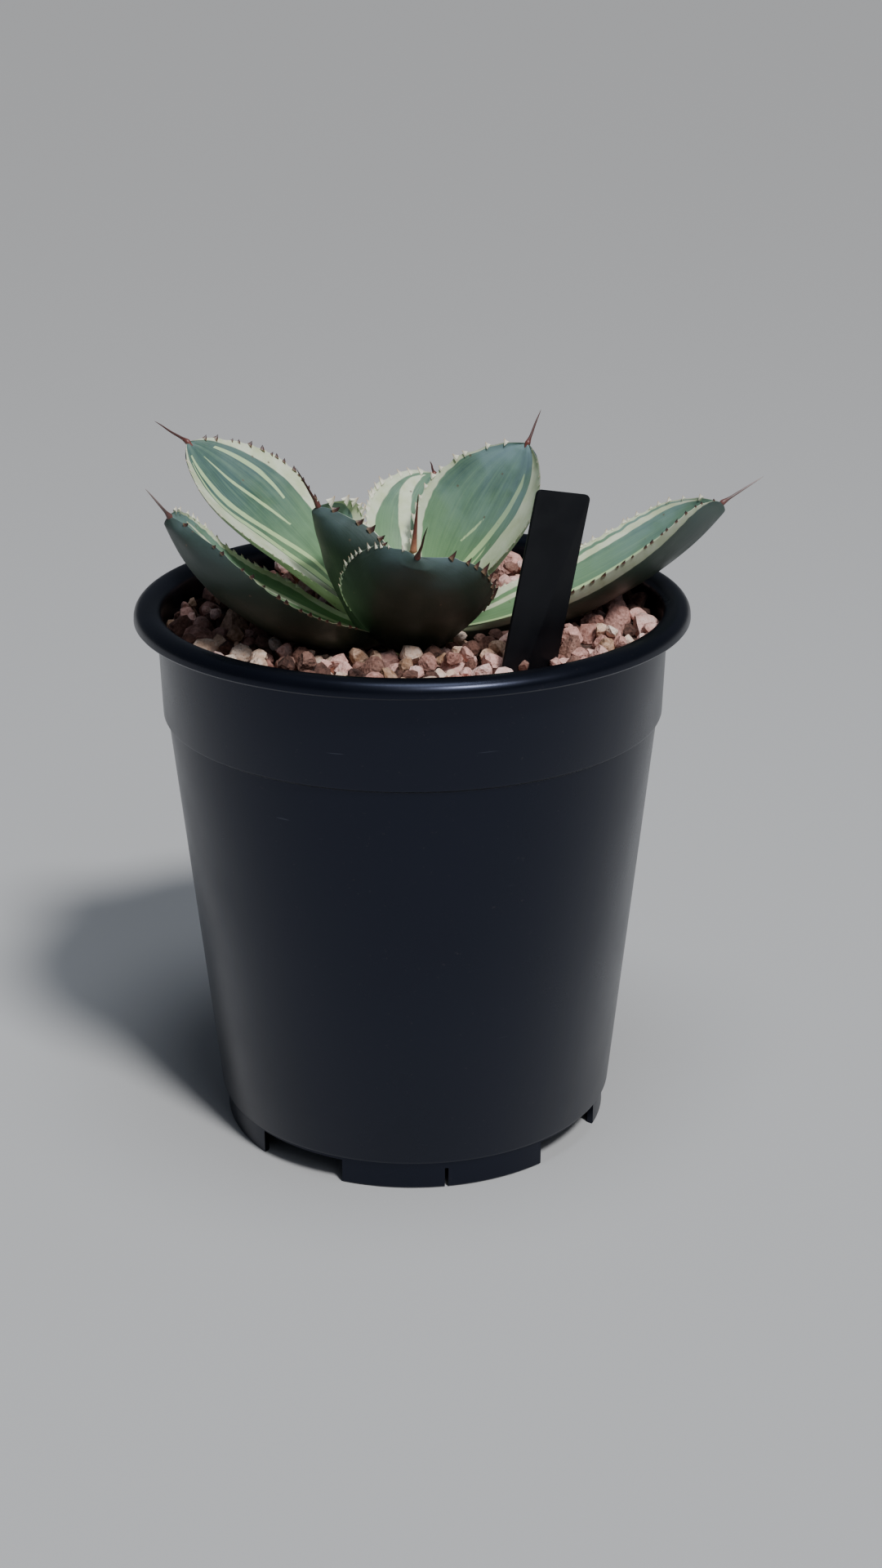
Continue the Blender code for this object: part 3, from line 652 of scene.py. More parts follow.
def plan_teeth(name, rng):
    """Where each tooth of a leaf stands: its side, v, length and whether it is dark."""
    plan = []
    for side, first, last, count, length, dark in TEETH[name]:
        for i in range(count):
            v = blend(first, last, (i + rng.uniform(-0.3, 0.3)) / (count - 1))
            v = min(0.975, max(0.05, v))
            plan.append((side, v, length * MM * rng.uniform(0.7, 1.25), dark))
    return plan


def make_blade(name, leaf, plan):
    """The fleshy blade, with its stripes' distances kept on its vertices."""
    blade = Blade(leaf)
    length = leaf["length"] * MM
    piece, layout = spindle(name, LEAF_SIDES, LEAF_RINGS)
    places = []
    fields = {field: [] for field in SKIN_FIELDS}
    for around, ring in layout:
        v = min(1.0, max(0.0, (ring - 1) / (LEAF_RINGS - 1)))
        v = blend(0.0, 0.995, v ** 0.93)
        # Half cosine and half even: fine at the margins, and even enough for the streaks.
        u = -0.5 * (math.cos(around) + 1.0 - 2.0 * abs(around) / math.pi)
        sine = math.sin(around)
        point, normal, outward = blade.point(v, u)
        # The margin swells into a low cushion under every tooth.
        swell = sum(
            size * 0.42 * math.exp(-(((v - at) * length / (0.55 * size + 0.3 * MM)) ** 2))
            for side, at, size, _ in plan if side * u > 0.7 and abs(v - at) < 0.08)
        edge = max(0.0, abs(u) - 0.7) / 0.3
        point = point + outward * (math.copysign(swell, u) * edge * edge)
        if ring in (0, LEAF_RINGS + 1):
            point = blade.middle(0.0 if ring == 0 else 0.997)
            sine = 0.0
        width = blade.half_width(v)
        thin = min(1.0, width / (5.0 * MM))
        body = BLADE_THICKNESS * blend(1.0, 0.45, v) * min(1.0, 0.6 + 3.0 * v) * thin
        ripple = noise.noise(Vector((u * 2.2, v * 5.0, SEED + leaf["azimuth"]))) * 0.35 * MM
        if sine < 0:
            point = point + normal * (sine * (body + MARGIN_THICKNESS * thin) + ripple)
        else:
            point = point + normal * (sine * MARGIN_THICKNESS * thin + ripple)
        places.append(point)
        # The stripes show through to the outer face only where they are broad.
        hidden = 1.1 if sine < -0.02 else 0.0
        face = 1.0 if sine > 0.02 else (0.5 if sine > -0.02 else 0.0)
        # Bloom lies thickest towards the tip. On the outer face near the tip's edges it is also a
        # painted highlight, for a lit shoulder.
        tip = min(1.0, max(0.0, (v - 0.35) / 0.65))
        painted_lit_shoulder = min(1.0, max(0.0, (v - 0.72) / 0.22)) * (0.35 + 0.65 * abs(u))
        # The last value is painted shade, darkening a blade beyond its middle by its share `deep`.
        values = (
            stripe_distance(CREAM[name], u, v, width / MM) - hidden,
            stripe_distance(PALE[name], u, v, width / MM) - 4 * hidden,
            v, u, face, leaf["bloom"] * blend(0.5 * painted_lit_shoulder, tip, face),
            leaf["deep"] * min(1.0, max(0.0, (v - 0.3) / 0.4)))
        for field, value in zip(SKIN_FIELDS, values):
            fields[field].append(value)
    set_coordinates(piece, [tuple(p) for p in places])
    for field, values in fields.items():
        set_attribute(piece, field, values)
    return piece, blade


def make_spine(name, blade, look):
    """The terminal spine: a slightly wavy needle on a broader foot that clasps the tip."""
    azimuth, rise, length = blade.leaf["spine"]
    ahead = direction(azimuth, rise)
    side = ahead.cross(Vector((0, 0, 1))).normalized()
    up = side.cross(ahead)
    root = blade.middle(0.965)
    tip = blade.middle(1.0)
    rings = 26
    piece, layout = spindle(name, 12, rings)
    places = []
    along = []
    for around, ring in layout:
        t = ring / (rings + 1)
        if t < 0.2:
            centre = root.lerp(tip, t / 0.2)
            radius = blend(0.15, 0.7, t / 0.2) * MM
        else:
            far = (t - 0.2) / 0.8
            sway = math.sin(far * 7.0 + azimuth) * 0.16 * far * (1 - far) * 2 * MM
            centre = tip + ahead * far * length * MM + side * sway + up * sway * 0.6
            radius = 0.36 * MM * (1 - far) ** 0.6 + 0.34 * MM * max(0.0, 1 - far * 5) ** 1.5
        if ring in (0, rings + 1):
            radius = 0.0
        places.append(centre + (side * math.cos(around) + up * math.sin(around)) * radius)
        along.append(t)
    set_coordinates(piece, [tuple(p) for p in places])
    set_attribute(piece, "along", along)
    piece.data.materials.append(look)
    return piece


def make_tooth(look):
    """One marginal tooth, 1 m long for scaling: a flattened cone hooked towards +Y."""
    start_clean()
    bpy.ops.mesh.primitive_cone_add(vertices=7, radius1=0.46, radius2=0.03, depth=1.0)
    tooth = take("tooth")
    bpy.ops.object.mode_set(mode="EDIT")
    bpy.ops.mesh.select_all(action="SELECT")
    bpy.ops.mesh.bisect(plane_co=(0, 0, 0.05), plane_no=(0, 0, 1))
    bpy.ops.object.mode_set(mode="OBJECT")
    places = coordinates(tooth)
    rise = places[:, 2] + 0.5
    places[:, 2] = rise - 0.15
    places[:, 0] *= 0.6
    places[:, 1] *= 1.25
    places[:, 1] += 0.35 * rise * rise
    set_coordinates(tooth, places)
    set_attribute(tooth, "along", rise)
    tooth.data.materials.append(look)
    return tooth


def copy_of(piece, matrix):
    twin = piece.copy()
    twin.data = piece.data.copy()
    twin.data.transform(matrix)
    bpy.context.scene.collection.objects.link(twin)
    return twin


def margin_teeth(blade, plan, rng, dark_tooth, pale_tooth):
    """Teeth set along the margins, each leaning a little towards the tip."""
    teeth = []
    for side, v, size, dark in plan:
        point, normal, outward = blade.point(v, side)
        outward = outward * side
        ahead = outward.cross(normal)
        if ahead.dot(blade.heading(v)) < 0:
            ahead = -ahead
        tilt = outward * 0.95 + ahead * rng.uniform(-0.05, 0.4) + normal * 0.12
        frame_z = tilt.normalized()
        frame_x = frame_z.cross(ahead).normalized()
        frame_y = frame_z.cross(frame_x)
        if frame_y.dot(ahead) < 0:
            frame_y = -frame_y
        frame_x = frame_y.cross(frame_z)
        turn = Matrix((frame_x, frame_y, frame_z)).transposed().to_4x4()
        place = Matrix.Translation(point + outward * 0.12 * size) @ turn
        model = dark_tooth if dark else pale_tooth
        teeth.append(copy_of(model, place @ Matrix.Diagonal((size, size, size, 1.0))))
    return teeth


def leaf_clearance():
    """A tree of places on every blade, for keeping the stones clear of them."""
    spots = []
    for leaf in LEAVES.values():
        blade = Blade(leaf)
        for i in range(45):
            v = i / 44
            body = BLADE_THICKNESS * blend(1.0, 0.45, v) + MARGIN_THICKNESS
            for j in range(31):
                u = -1 + 2 * j / 30
                point, normal, _ = blade.point(v, u)
                spots.append(point)
                spots.append(point - normal * body * math.sqrt(max(0.0, 1 - u * u)))
    tree = KDTree(len(spots))
    for i, spot in enumerate(spots):
        tree.insert(spot, i)
    tree.balance()
    return tree


# ---------------------------------------------------------------- stones


def make_rock(name, subdivisions, rng):
    """A broken grain of unit diameter: a ball with several flats knocked off, then roughened."""
    start_clean()
    bpy.ops.mesh.primitive_ico_sphere_add(subdivisions=subdivisions, radius=0.5)
    rock = take(name)
    places = coordinates(rock)
    for _ in range(rng.randint(8, 12)):
        flat = np.array([rng.gauss(0, 1) for _ in range(3)])
        flat /= np.linalg.norm(flat)
        level = rng.uniform(0.26, 0.4)
        over = places @ flat - level
        places -= np.outer(np.clip(over, 0, None) * 0.93, flat)
    shift = Vector((rng.uniform(0, 50), rng.uniform(0, 50), rng.uniform(0, 50)))
    rough = []
    for place in places:
        where = Vector(place)
        swell = 0.10 * noise.noise(where * 2.6 + shift) + 0.05 * noise.noise(where * 7.0 + shift)
        if subdivisions > 2:
            swell += 0.03 * noise.noise(where * 17.0 + shift)
        rough.append(tuple(where * (1.0 + swell) * 1.12))
    set_coordinates(rock, rough)
    return rock


def inner_radius(z):
    """The pot wall's inner radius in the collar, from the CAD's own rim."""
    collar_low = POT_HEIGHT - COLLAR
    collar_high = POT_HEIGHT - LIP
    share = (z - collar_low) / (collar_high - collar_low)
    return RIM_RADIUS - NECK_IN - 0.6 * MM * (1 - share) - WALL


def bed_height(x, y):
    """The dished bed under the grit."""
    from_stem = math.hypot(x - STEM_CENTRE.x, y - STEM_CENTRE.y)
    rise = min(1.0, max(0.0, (from_stem - 22.0 * MM) / (12.0 * MM)))
    return GRAVEL_TOP - 0.8 * MM - 4.6 * MM * (1 - rise)


def drop_stones(count, settings, rng, settled):
    """Seeded packing: each stone takes the lowest of several free places it is offered."""
    clear = leaf_clearance()
    label_low, label_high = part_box("plant_label")
    label_foot = Vector((
        blend(label_low.x, label_high.x, 0.36), (label_low.y + label_high.y) / 2))
    reach = inner_radius(GRAVEL_TOP)
    placed = [tuple(stone) for stone in settled]
    made = []
    for _ in range(count):
        radius = blend(settings.smallest, settings.largest, rng.random() ** 1.25) / 2
        best = None
        data = np.array(placed)
        for _ in range(14):
            angle = rng.uniform(0, 2 * math.pi)
            out = math.sqrt(rng.random()) * (reach - radius * 0.92 - 0.2 * MM)
            x = AXIS.x + out * math.cos(angle)
            y = AXIS.y + out * math.sin(angle)
            near = np.hypot(data[:, 0] - x, data[:, 1] - y)
            touch = (data[:, 3] + radius) * 0.88
            over = near < touch
            z = bed_height(x, y) + radius * 0.62
            if math.hypot(x - STEM_CENTRE.x, y - STEM_CENTRE.y) < radius + 9.0 * MM:
                continue
            if over.any():
                z = max(z, (data[over, 2] + np.sqrt(touch[over] ** 2 - near[over] ** 2)).max())
            if z + radius > settings.heap_top:
                continue
            if best is None or z < best[2]:
                if clear.find(Vector((x, y, z)))[2] < radius * 1.02 + 0.15 * MM:
                    continue
                aside = Vector((x, y)) - label_foot
                if (aside.length < radius + 7.2 * MM
                        and abs(aside.dot(LABEL_NORMAL)) < radius + 0.5 * MM):
                    continue
                best = (x, y, z, radius)
        if best is not None:
            placed.append(best)
            made.append(best)
    return made


# ---------------------------------------------------------------- settings


class AGAVE_PG_plant(bpy.types.PropertyGroup):
    green: colour_property("Green", "Blade between the stripes", "#66866c")
    # Deep green also gives the painted shade on darkened blades
    deep_green_and_shade: colour_property("Deep green", "Darker bands of the blade", "#37564a")
    base_green: colour_property("Base green", "Blade towards its base", "#7da36c")
    pale_green: colour_property("Pale green", "Narrow pale streaks", "#c6e0a2")
    # Outer face: a somewhat darker green, made much darker as painted shade
    outer_green_and_shade: colour_property("Back green", "Outer face of the leaves", "#26352a")
    # Wax bloom, also laid on as a painted highlight on the outer face near the tip
    bloom: colour_property("Wax bloom", "Powdery bloom over the green", "#8aa5b0")
    cream: colour_property("Cream", "Broad variegated stripes", "#e2e8cc")
    cream_shade: colour_property("Cream shade", "Darker tone in the cream", "#cbd5ab")
    speck: colour_property("Speck", "Corky specks", "#6b5a48")
    spine_red: colour_property("Spine red", "Foot of the younger spines", "#824a42")
    spine_dark: colour_property("Spine dark", "Shaft of the spines", "#4f302b")
    spine_grey: colour_property("Spine grey", "Weathered spines", "#a3948f")
    tooth_pale: colour_property("Tooth pale", "Foot of the teeth", "#e9e6cf")


class AGAVE_PG_pot(bpy.types.PropertyGroup):
    sides: bpy.props.IntProperty(
        name="Sides", description="Facets round the pot", min=48, max=512, default=192)
    plastic: colour_property("Plastic", "Moulded black plastic", "#040508")
    plastic_haze: colour_property("Haze", "Faint bloom on the plastic", "#080a11")
    scuff: colour_property("Scuff", "Fine scratches", "#33353c")
    dust: colour_property("Dust", "Soil dust on the plastic", "#4d4641")


class AGAVE_PG_grit(bpy.types.PropertyGroup):
    smallest: length_property("Smallest", "Smallest stone's diameter", 2.2)
    largest: length_property("Largest", "Largest loose stone's diameter", 7.6)
    heap_top: bpy.props.FloatProperty(
        name="Heap top", description="No stone rises above this height", subtype="DISTANCE",
        unit="LENGTH", precision=5, default=POT_HEIGHT - 2.4 * MM)
    count: bpy.props.IntProperty(
        name="Count", description="Stones dropped", min=0, max=4000, default=1100)


class AGAVE_PG_stage(bpy.types.PropertyGroup):
    floor: colour_property("Floor", "Backdrop paper", "#c4c4c4")
    key: bpy.props.FloatProperty(
        name="Key light", description="Main light's strength", min=0.0, default=2.7)
    fill: bpy.props.FloatProperty(
        name="Fill light", description="Front soft light", unit="POWER", default=1.1)
    top: bpy.props.FloatProperty(
        name="Top light", description="Overhead soft light", unit="POWER", default=2.2)


# ---------------------------------------------------------------- operators


def pot_profile():
    """The wall's closed section as (radius, height), from the middle drain hole round."""
    step = POT_HEIGHT - COLLAR
    collar_top = POT_HEIGHT - LIP
    throat = RIM_RADIUS - THROAT_IN
    neck = RIM_RADIUS - NECK_IN
    body_top = RIM_RADIUS - BODY_IN
    body_foot = body_top - BODY_TAPER
    roll = RIM_RADIUS - throat
    inside = [
        (DRAIN_RADIUS, FLOOR_TOP),
        (body_foot - WALL - 2.0 * MM, FLOOR_TOP),
        (body_foot - WALL - 0.5 * MM, FLOOR_TOP + 0.5 * MM),
        (body_foot - WALL + 0.2 * MM, FLOOR_TOP + 2.0 * MM),
        (body_top - WALL - 0.03 * MM, step + WALL - 0.6 * MM),
        (body_top - WALL + 0.3 * MM, step + WALL - 0.1 * MM),
        (body_top + 1.0 * MM - WALL - 0.3 * MM, step + WALL + 0.1 * MM),
        (body_top + 1.0 * MM - WALL, step + WALL + 0.6 * MM),
        (throat, collar_top),
    ]
    lip = []
    for i in range(17):
        t = i / 16
        angle = math.pi * (1 - t)
        lip.append((
            throat + roll * (0.5 + 0.5 * math.cos(angle)) * 0.995,
            POT_HEIGHT - 3.0 * MM + 3.0 * MM * math.sin(angle) ** 0.8))
    lip += [
        (RIM_RADIUS - 0.02 * MM, POT_HEIGHT - 3.15 * MM),
        (RIM_RADIUS - 0.3 * MM, POT_HEIGHT - 3.5 * MM),
        (RIM_RADIUS - 0.75 * MM, POT_HEIGHT - 3.5 * MM),
        (RIM_RADIUS - 1.0 * MM, POT_HEIGHT - 3.15 * MM),
        (RIM_RADIUS - 1.35 * MM, POT_HEIGHT - 2.3 * MM),
        (RIM_RADIUS - 2.4 * MM, POT_HEIGHT - 1.4 * MM),
        (neck + 1.0 * MM, POT_HEIGHT - 1.9 * MM),
        (neck + 0.3 * MM, POT_HEIGHT - 3.2 * MM),
    ]
    outside = [
        (neck, collar_top),
        (body_top + 1.0 * MM, step + 0.45 * MM),
        (body_top + 0.85 * MM, step + 0.12 * MM),
        (body_top + 0.4 * MM, step - 0.05 * MM),
        (body_top, step - 0.5 * MM),
        (body_foot + 0.05 * MM, FOOT_HEIGHT + 0.6 * MM),
        (body_foot - 0.25 * MM, FOOT_HEIGHT),
        (body_foot - 1.2 * MM, FOOT_HEIGHT - 0.5 * MM),
        (body_foot - 1.2 * MM, 0.35 * MM),
        (body_foot - 1.5 * MM, 0.0),
        (body_foot - 2.4 * MM, 0.0),
        (body_foot - 2.7 * MM, 0.35 * MM),
        (body_foot - 2.7 * MM, FLOOR_TOP - 1.2 * MM),
        (DRAIN_RADIUS, FLOOR_TOP - 1.2 * MM),
    ]
    return inside + lip + outside


def cut_away(piece, cutter):
    only(piece)
    boolean = piece.modifiers.new("cut", "BOOLEAN")
    boolean.operation = "DIFFERENCE"
    boolean.solver = "EXACT"
    boolean.object = cutter
    bpy.ops.object.modifier_apply(modifier=boolean.name)
    bpy.data.objects.remove(cutter)


class AGAVE_OT_pot(bpy.types.Operator):
    """Turn the pot's wall and cut its foot and drain holes"""
    bl_idname = "agave.pot"
    bl_label = "Nursery pot"

    def execute(self, context):
        settings = context.scene.agave_pot
        profile = pot_profile()
        start_clean()
        bpy.ops.mesh.primitive_circle_add(vertices=len(profile), radius=RIM_RADIUS)
        pot = take("nursery_pot")
        set_coordinates(pot, [(AXIS.x + r, AXIS.y, z) for r, z in profile])
        bpy.ops.object.mode_set(mode="EDIT")
        bpy.ops.mesh.select_all(action="SELECT")
        bpy.ops.mesh.spin(
            steps=settings.sides, angle=2 * math.pi, center=AXIS, axis=(0, 0, 1))
        bpy.ops.mesh.select_all(action="SELECT")
        bpy.ops.mesh.remove_doubles(threshold=0.005 * MM)
        bpy.ops.mesh.normals_make_consistent(inside=False)
        bpy.ops.object.mode_set(mode="OBJECT")
        # The foot's ring runs 1.95 mm inside the body's foot.
        ring = RIM_RADIUS - BODY_IN - BODY_TAPER - 1.95 * MM
        for i in range(4):
            foot_angle = math.radians(-90.0 + 8.8 + i * 90.0)
            for angle, width, height in (
                    (foot_angle + math.pi / 4, 22.2 * MM, 5.6 * MM),
                    (foot_angle, 0.8 * MM, 4.8 * MM)):
                start_clean()
                place = AXIS + Vector((math.cos(angle), math.sin(angle), 0.0)) * ring
                bpy.ops.mesh.primitive_cube_add(
                    size=1.0, location=place, rotation=(0, 0, angle),
                    scale=(6.0 * MM, width, 2 * height))
                cut_away(pot, take("foot_cutter"))
        for i in range(8):
            angle = 2 * math.pi * i / 8
            place = AXIS + Vector((math.cos(angle), math.sin(angle), 0.0)) * DRAIN_CIRCLE
            place.z = FLOOR_TOP - WALL / 2
            start_clean()
            bpy.ops.mesh.primitive_cylinder_add(
                vertices=32, radius=DRAIN_RADIUS, depth=4.0 * MM, location=place)
            cut_away(pot, take("drain_cutter"))
        smooth(pot, 35)
        finish(pot, pot_plastic(settings), "pot_plastic", "pot")
        return {"FINISHED"}


class AGAVE_OT_filling(bpy.types.Operator):
    """Give the potting mix, the gravel bed and the stem their materials"""
    bl_idname = "agave.filling"
    bl_label = "Mix, bed and stem"

    def execute(self, context):
        for node, look, dark, light, grain_mm in (
                ("potting_mix", "bark_potting_mix", "#1c1511", "#4a382b", 2.2),
                ("gravel_layer", "fine_grit_bed", "#2a1d19", "#8a6a5c", 1.6),
                ("stem", "dry_stem_tissue", "#6d6a45", "#a4a574", 1.2)):
            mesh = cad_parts[node].data
            mesh.materials.clear()
            mesh.materials.append(loose_ground(look, linear(dark), linear(light), grain_mm))
        return {"FINISHED"}


def grit_looks():
    return {
        kind: grit_stone(name, *map(linear, tones)) for kind, name, tones in (
            ("pink", "crushed_pink_pumice", ("#94665a", "#e8b5a8", "#fbe0d8")),
            ("tan", "crushed_tan_pumice", ("#987256", "#e8c4ab", "#f9e9dc")),
            ("brown", "crushed_brown_lava", ("#38231d", "#7d584c", "#b08a7c")))}


class AGAVE_OT_stones(bpy.types.Operator):
    """Model the large top stones and drop the loose grit round them"""
    bl_idname = "agave.stones"
    bl_label = "Grit top dressing"

    def execute(self, context):
        settings = context.scene.agave_grit
        rng = random.Random(SEED)
        looks = grit_looks()
        settled = []
        names = sorted(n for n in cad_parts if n.startswith("stone_"))
        for i, name in enumerate(names):
            low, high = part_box(name)
            rock = make_rock(f"grit_{name}", 4, rng)
            places = coordinates(rock)
            turn = Euler([rng.uniform(0, 6.28) for _ in range(3)]).to_matrix()
            places = places @ np.array(turn)
            span = places.max(axis=0) - places.min(axis=0)
            size = np.array(high - low)
            places = (places - (places.max(axis=0) + places.min(axis=0)) / 2) / span * size
            places += np.array((low + high) / 2)
            set_coordinates(rock, places)
            set_attribute(rock, "tint", [rng.uniform(-0.05, 0.3)] * len(places))
            kind = GRIT_LOOKS[i % len(GRIT_LOOKS)]
            smooth(rock, 40)
            finish(rock, looks[kind], f"{kind}_grit", name)
            centre = (low + high) / 2
            settled.append((*centre, max(size) / 2))
        models = [make_rock(f"model_{i}", 2, rng) for i in range(9)]
        groups = {"pink": [], "tan": [], "brown": []}
        for x, y, z, radius in drop_stones(settings.count, settings, rng, settled):
            model = rng.choice(models)
            turn = Euler([rng.uniform(0, 6.28) for _ in range(3)]).to_matrix().to_4x4()
            scale = Matrix.Diagonal((
                2 * radius * rng.uniform(0.9, 1.1), 2 * radius * rng.uniform(0.85, 1.05),
                2 * radius * rng.uniform(0.8, 1.0), 1.0))
            stone = copy_of(model, Matrix.Translation((x, y, z)) @ turn @ scale)
            set_attribute(stone, "tint", [rng.uniform(-0.1, 0.35)] * len(stone.data.vertices))
            kind = rng.choices(("pink", "tan", "brown"), (0.52, 0.2, 0.28))[0]
            groups[kind].append(stone)
        for kind, stones in groups.items():
            grit = join(stones, f"loose_{kind}_grit")
            smooth(grit, 32)
            finish(grit, looks[kind], f"{kind}_grit")
        for model in models:
            bpy.data.objects.remove(model)
        return {"FINISHED"}


class AGAVE_OT_leaves(bpy.types.Operator):
    """Grow the seven open leaves, each one piece with its spine and teeth"""
    bl_idname = "agave.leaves"
    bl_label = "Leaves"

    def execute(self, context):
        settings = context.scene.agave_plant
        rng = random.Random(SEED + 1)
        skin = leaf_skin(settings)
        spines = {
            "red": horn("red_brown_spine", settings.spine_red, settings.spine_dark,
                        settings.spine_dark),
            "dark": horn("dark_brown_spine", settings.spine_red, settings.spine_dark,
                         linear("#1f1413")),
            "grey": horn("weathered_grey_spine", settings.spine_red, linear("#5d4744"),
                         settings.spine_grey),
        }
        dark_tooth = make_tooth(horn(
            "dark_tooth", linear("#77644e"), settings.spine_dark, linear("#1f1413")))
        pale_tooth = make_tooth(horn(
            "pale_tooth", settings.tooth_pale, settings.tooth_pale, linear("#b9a184")))
        for name, leaf in LEAVES.items():
            plan = plan_teeth(name, rng)
            body, blade = make_blade(name, leaf, plan)
            body.data.materials.append(skin)
            smooth(body, 60)
            spine = make_spine(name + "_spine", blade, spines[leaf["spine_look"]])
            smooth(spine, 60)
            teeth = margin_teeth(blade, plan, rng, dark_tooth, pale_tooth)
            piece = join([body, spine, *teeth], "grown_" + name)
            finish(piece, None, "leaf", name)
        bpy.data.objects.remove(dark_tooth)
        bpy.data.objects.remove(pale_tooth)
        return {"FINISHED"}


class AGAVE_OT_bud(bpy.types.Operator):
    """Roll the unopened leaves into the pointed centre"""
    bl_idname = "agave.bud"
    bl_label = "Central bud"

    def execute(self, context):
        settings = context.scene.agave_plant
        low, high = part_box("central_bud")
        foot = Vector((STEM_CENTRE.x, STEM_CENTRE.y, low.z))
        tip = Vector((STEM_CENTRE.x + 2.4 * MM, STEM_CENTRE.y - 3.2 * MM, high.z))
        rings = 60
        bud, layout = spindle("rolled_bud", 48, rings)
        places = []
        fields = {name: [] for name in SKIN_FIELDS}
        for around, ring in layout:
            t = ring / (rings + 1)
            centre = foot.lerp(tip, 0.62 * t)
            centre.x -= 0.6 * MM * t * (1 - t) * 4
            radius = 3.4 * MM * math.sin(math.pi * min(1.0, t * 1.05 + 0.12) ** 0.75) ** 0.8
            # The sheathing bases flare out to meet the open leaves.
            flare = max(0.0, 1 - t / 0.42) ** 1.4
            radius += 7.0 * MM * flare * (1.0 + 0.14 * math.sin(3 * around + 1.0))
            wrap = 1.0 + 0.12 * math.sin(around + 9.0 * t)
            if ring in (0, rings + 1):
                radius = 0.0
            places.append((
                centre.x + radius * wrap * math.cos(around),
                centre.y + radius * wrap * math.sin(around), centre.z))
            turn = (around / math.pi + 1.5 * t) % 2 - 1
            values = (2.0 * (0.35 - abs(turn)), -3.0, t, turn, 1.0, 0.0, 0.0)
            for field, value in zip(SKIN_FIELDS, values):
                fields[field].append(value)
        set_coordinates(bud, places)
        for field, values in fields.items():
            set_attribute(bud, field, values)
        bud.data.materials.append(bpy.data.materials["agave_leaf_waxy_skin"])
        smooth(bud, 60)
        needle, layout = spindle("bud_spine", 12, 24)
        places = []
        along = []
        start = foot.lerp(tip, 0.5)
        for around, ring in layout:
            t = ring / 25
            centre = start.lerp(tip, t)
            radius = 0.0 if ring in (0, 25) else blend(1.0, 0.08, t ** 0.55) * MM
            places.append((
                centre.x + radius * math.cos(around), centre.y + radius * math.sin(around),
                centre.z))
            along.append(t)
        set_coordinates(needle, places)
        set_attribute(needle, "along", along)
        needle.data.materials.append(horn(
            "salmon_new_spine", linear("#c98a6c"), settings.spine_red, settings.spine_dark))
        smooth(needle, 60)
        piece = join([bud, needle], "rolled_bud")
        finish(piece, None, "bud", "central_bud")
        return {"FINISHED"}


class AGAVE_OT_label(bpy.types.Operator):
    """Cut the blank plant label and stand it in the grit"""
    bl_idname = "agave.label"
    bl_label = "Plant label"

    def execute(self, context):
        start_clean()
        bpy.ops.mesh.primitive_cube_add(
            size=1.0, scale=(LABEL_WIDTH, LABEL_THICKNESS, LABEL_LENGTH),
            location=(0, 0, LABEL_LENGTH / 2 - LABEL_BURIED))
        label = take("blank_plant_label")
        settle_place(label)
        bpy.ops.object.mode_set(mode="EDIT")
        bpy.ops.mesh.select_all(action="SELECT")
        bpy.ops.mesh.bisect(plane_co=(0, 0, 8.0 * MM - LABEL_BURIED), plane_no=(0, 0, 1))
        bpy.ops.object.mode_set(mode="OBJECT")
        places = coordinates(label)
        # The buried end is cut to a point.
        places[places[:, 2] < 4.0 * MM - LABEL_BURIED, 0] *= 0.12
        set_coordinates(label, places)
        bm = bmesh.new()
        bm.from_mesh(label.data)
        corners = [
            e for e in bm.edges
            if abs(e.verts[0].co.z - e.verts[1].co.z) < 1e-6
            and abs(e.verts[0].co.x - e.verts[1].co.x) < 1e-6
            and e.verts[0].co.z > LABEL_LENGTH - LABEL_BURIED - 1e-5]
        bmesh.ops.bevel(
            bm, geom=corners, offset=1.2 * MM, segments=8, profile=0.5, affect="EDGES")
        bm.to_mesh(label.data)
        bm.free()
        only(label)
        edge = label.modifiers.new("edge", "BEVEL")
        edge.width = 0.14 * MM
        edge.segments = 2
        edge.limit_method = "ANGLE"
        edge.angle_limit = math.radians(50)
        bpy.ops.object.modifier_apply(modifier=edge.name)
        lean = Matrix.Rotation(LABEL_LEAN, 4, "Y")
        turn = Matrix.Rotation(LABEL_TURN, 4, "Z")
        label.data.transform(Matrix.Translation(LABEL_FOOT) @ turn @ lean)
        smooth(label, 30)
        finish(label, label_plastic(context.scene.agave_pot), "label_plastic", "plant_label")
        return {"FINISHED"}


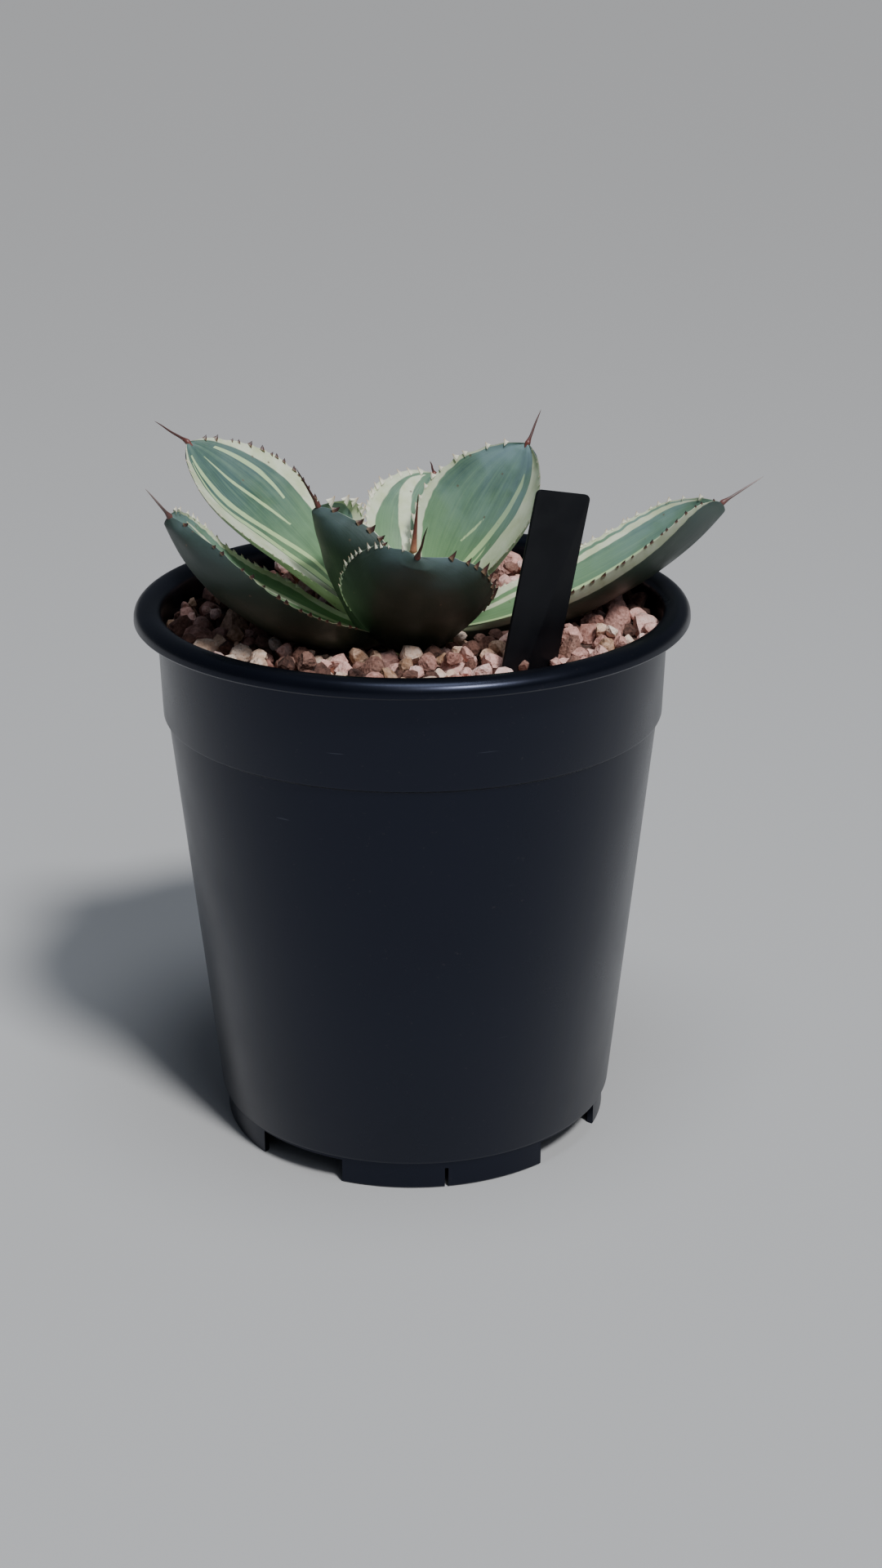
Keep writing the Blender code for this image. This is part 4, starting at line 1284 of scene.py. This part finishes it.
class AGAVE_OT_stage(bpy.types.Operator):
    """Lay the backdrop, hang the lights and set the camera"""
    bl_idname = "agave.stage"
    bl_label = "Stage"

    def execute(self, context):
        settings = context.scene.agave_stage
        start_clean()
        bpy.ops.mesh.primitive_plane_add(size=60.0, location=(0, 0, 0))
        floor = take("backdrop")
        bpy.ops.object.mode_set(mode="EDIT")
        bpy.ops.mesh.select_all(action="SELECT")
        bpy.ops.mesh.subdivide(number_cuts=3)
        bpy.ops.object.mode_set(mode="OBJECT")
        floor.data.materials.append(studio_paper(settings.floor))
        target = Vector((AXIS.x, AXIS.y, 90.0 * MM))
        for name, kind, place, spread, power in (
                ("key_light", "SUN", (0.38, -0.66, 1.1), math.radians(10.0), settings.key),
                ("fill_light", "AREA", (0.35, -0.75, 0.75), 0.6, settings.fill),
                ("top_light", "AREA", (0.04, -0.12, 0.95), 0.35, settings.top)):
            lamp = bpy.data.lights.new(name, kind)
            lamp.energy = power
            if kind == "SUN":
                lamp.angle = spread
            else:
                lamp.shape = "DISK"
                lamp.size = spread
                lamp.color = (0.86, 0.92, 1.0)
            thing = bpy.data.objects.new(name, lamp)
            thing.location = place
            aim = target - Vector(place)
            thing.rotation_euler = aim.to_track_quat("-Z", "Y").to_euler()
            context.scene.collection.objects.link(thing)
        world = bpy.data.worlds.new("studio_air")
        world.use_nodes = True
        background = world.node_tree.nodes["Background"]
        background.inputs["Color"].default_value = linear("#d3def2")
        background.inputs["Strength"].default_value = 0.11
        context.scene.world = world
        lens = bpy.data.cameras.new("front_camera")
        lens.sensor_width = 36.0
        lens.lens = 52.5
        lens.clip_start = 0.01
        camera = bpy.data.objects.new("front_camera", lens)
        camera.location = AXIS + Vector((0.0, -0.48351, 0.26566))
        camera.rotation_euler = (
            math.radians(90.0 - 21.139), math.radians(0.083), math.radians(-0.768))
        context.scene.collection.objects.link(camera)
        context.scene.camera = camera
        return {"FINISHED"}


class AGAVE_PT_sidebar(bpy.types.Panel):
    """Lists the steps that build the plant"""
    bl_idname = "AGAVE_PT_sidebar"
    bl_label = "Potted Agave"
    bl_space_type = "VIEW_3D"
    bl_region_type = "UI"
    bl_category = "Potted Agave"

    def draw(self, context):
        for group in (context.scene.agave_plant, context.scene.agave_pot,
                      context.scene.agave_grit, context.scene.agave_stage):
            box = self.layout.box()
            for name in group.bl_rna.properties.keys():
                if name not in ("rna_type", "name"):
                    box.prop(group, name)
        for step in STEPS:
            self.layout.operator(step.bl_idname)


GROUPS = (
    ("agave_plant", AGAVE_PG_plant), ("agave_pot", AGAVE_PG_pot),
    ("agave_grit", AGAVE_PG_grit), ("agave_stage", AGAVE_PG_stage))
STEPS = (
    AGAVE_OT_pot, AGAVE_OT_filling, AGAVE_OT_stones, AGAVE_OT_leaves, AGAVE_OT_bud,
    AGAVE_OT_label, AGAVE_OT_stage)


def register():
    for name, group in GROUPS:
        bpy.utils.register_class(group)
        setattr(bpy.types.Scene, name, bpy.props.PointerProperty(type=group))
    for step in STEPS:
        bpy.utils.register_class(step)
    bpy.utils.register_class(AGAVE_PT_sidebar)


def unregister():
    bpy.utils.unregister_class(AGAVE_PT_sidebar)
    for step in reversed(STEPS):
        bpy.utils.unregister_class(step)
    for name, group in reversed(GROUPS):
        delattr(bpy.types.Scene, name)
        bpy.utils.unregister_class(group)


def main():
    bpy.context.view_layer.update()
    register()
    bpy.ops.agave.pot()
    bpy.ops.agave.filling()
    bpy.ops.agave.stones()
    bpy.ops.agave.leaves()
    bpy.ops.agave.bud()
    bpy.ops.agave.label()
    bpy.ops.agave.stage()


if __name__ == "__main__":
    main()
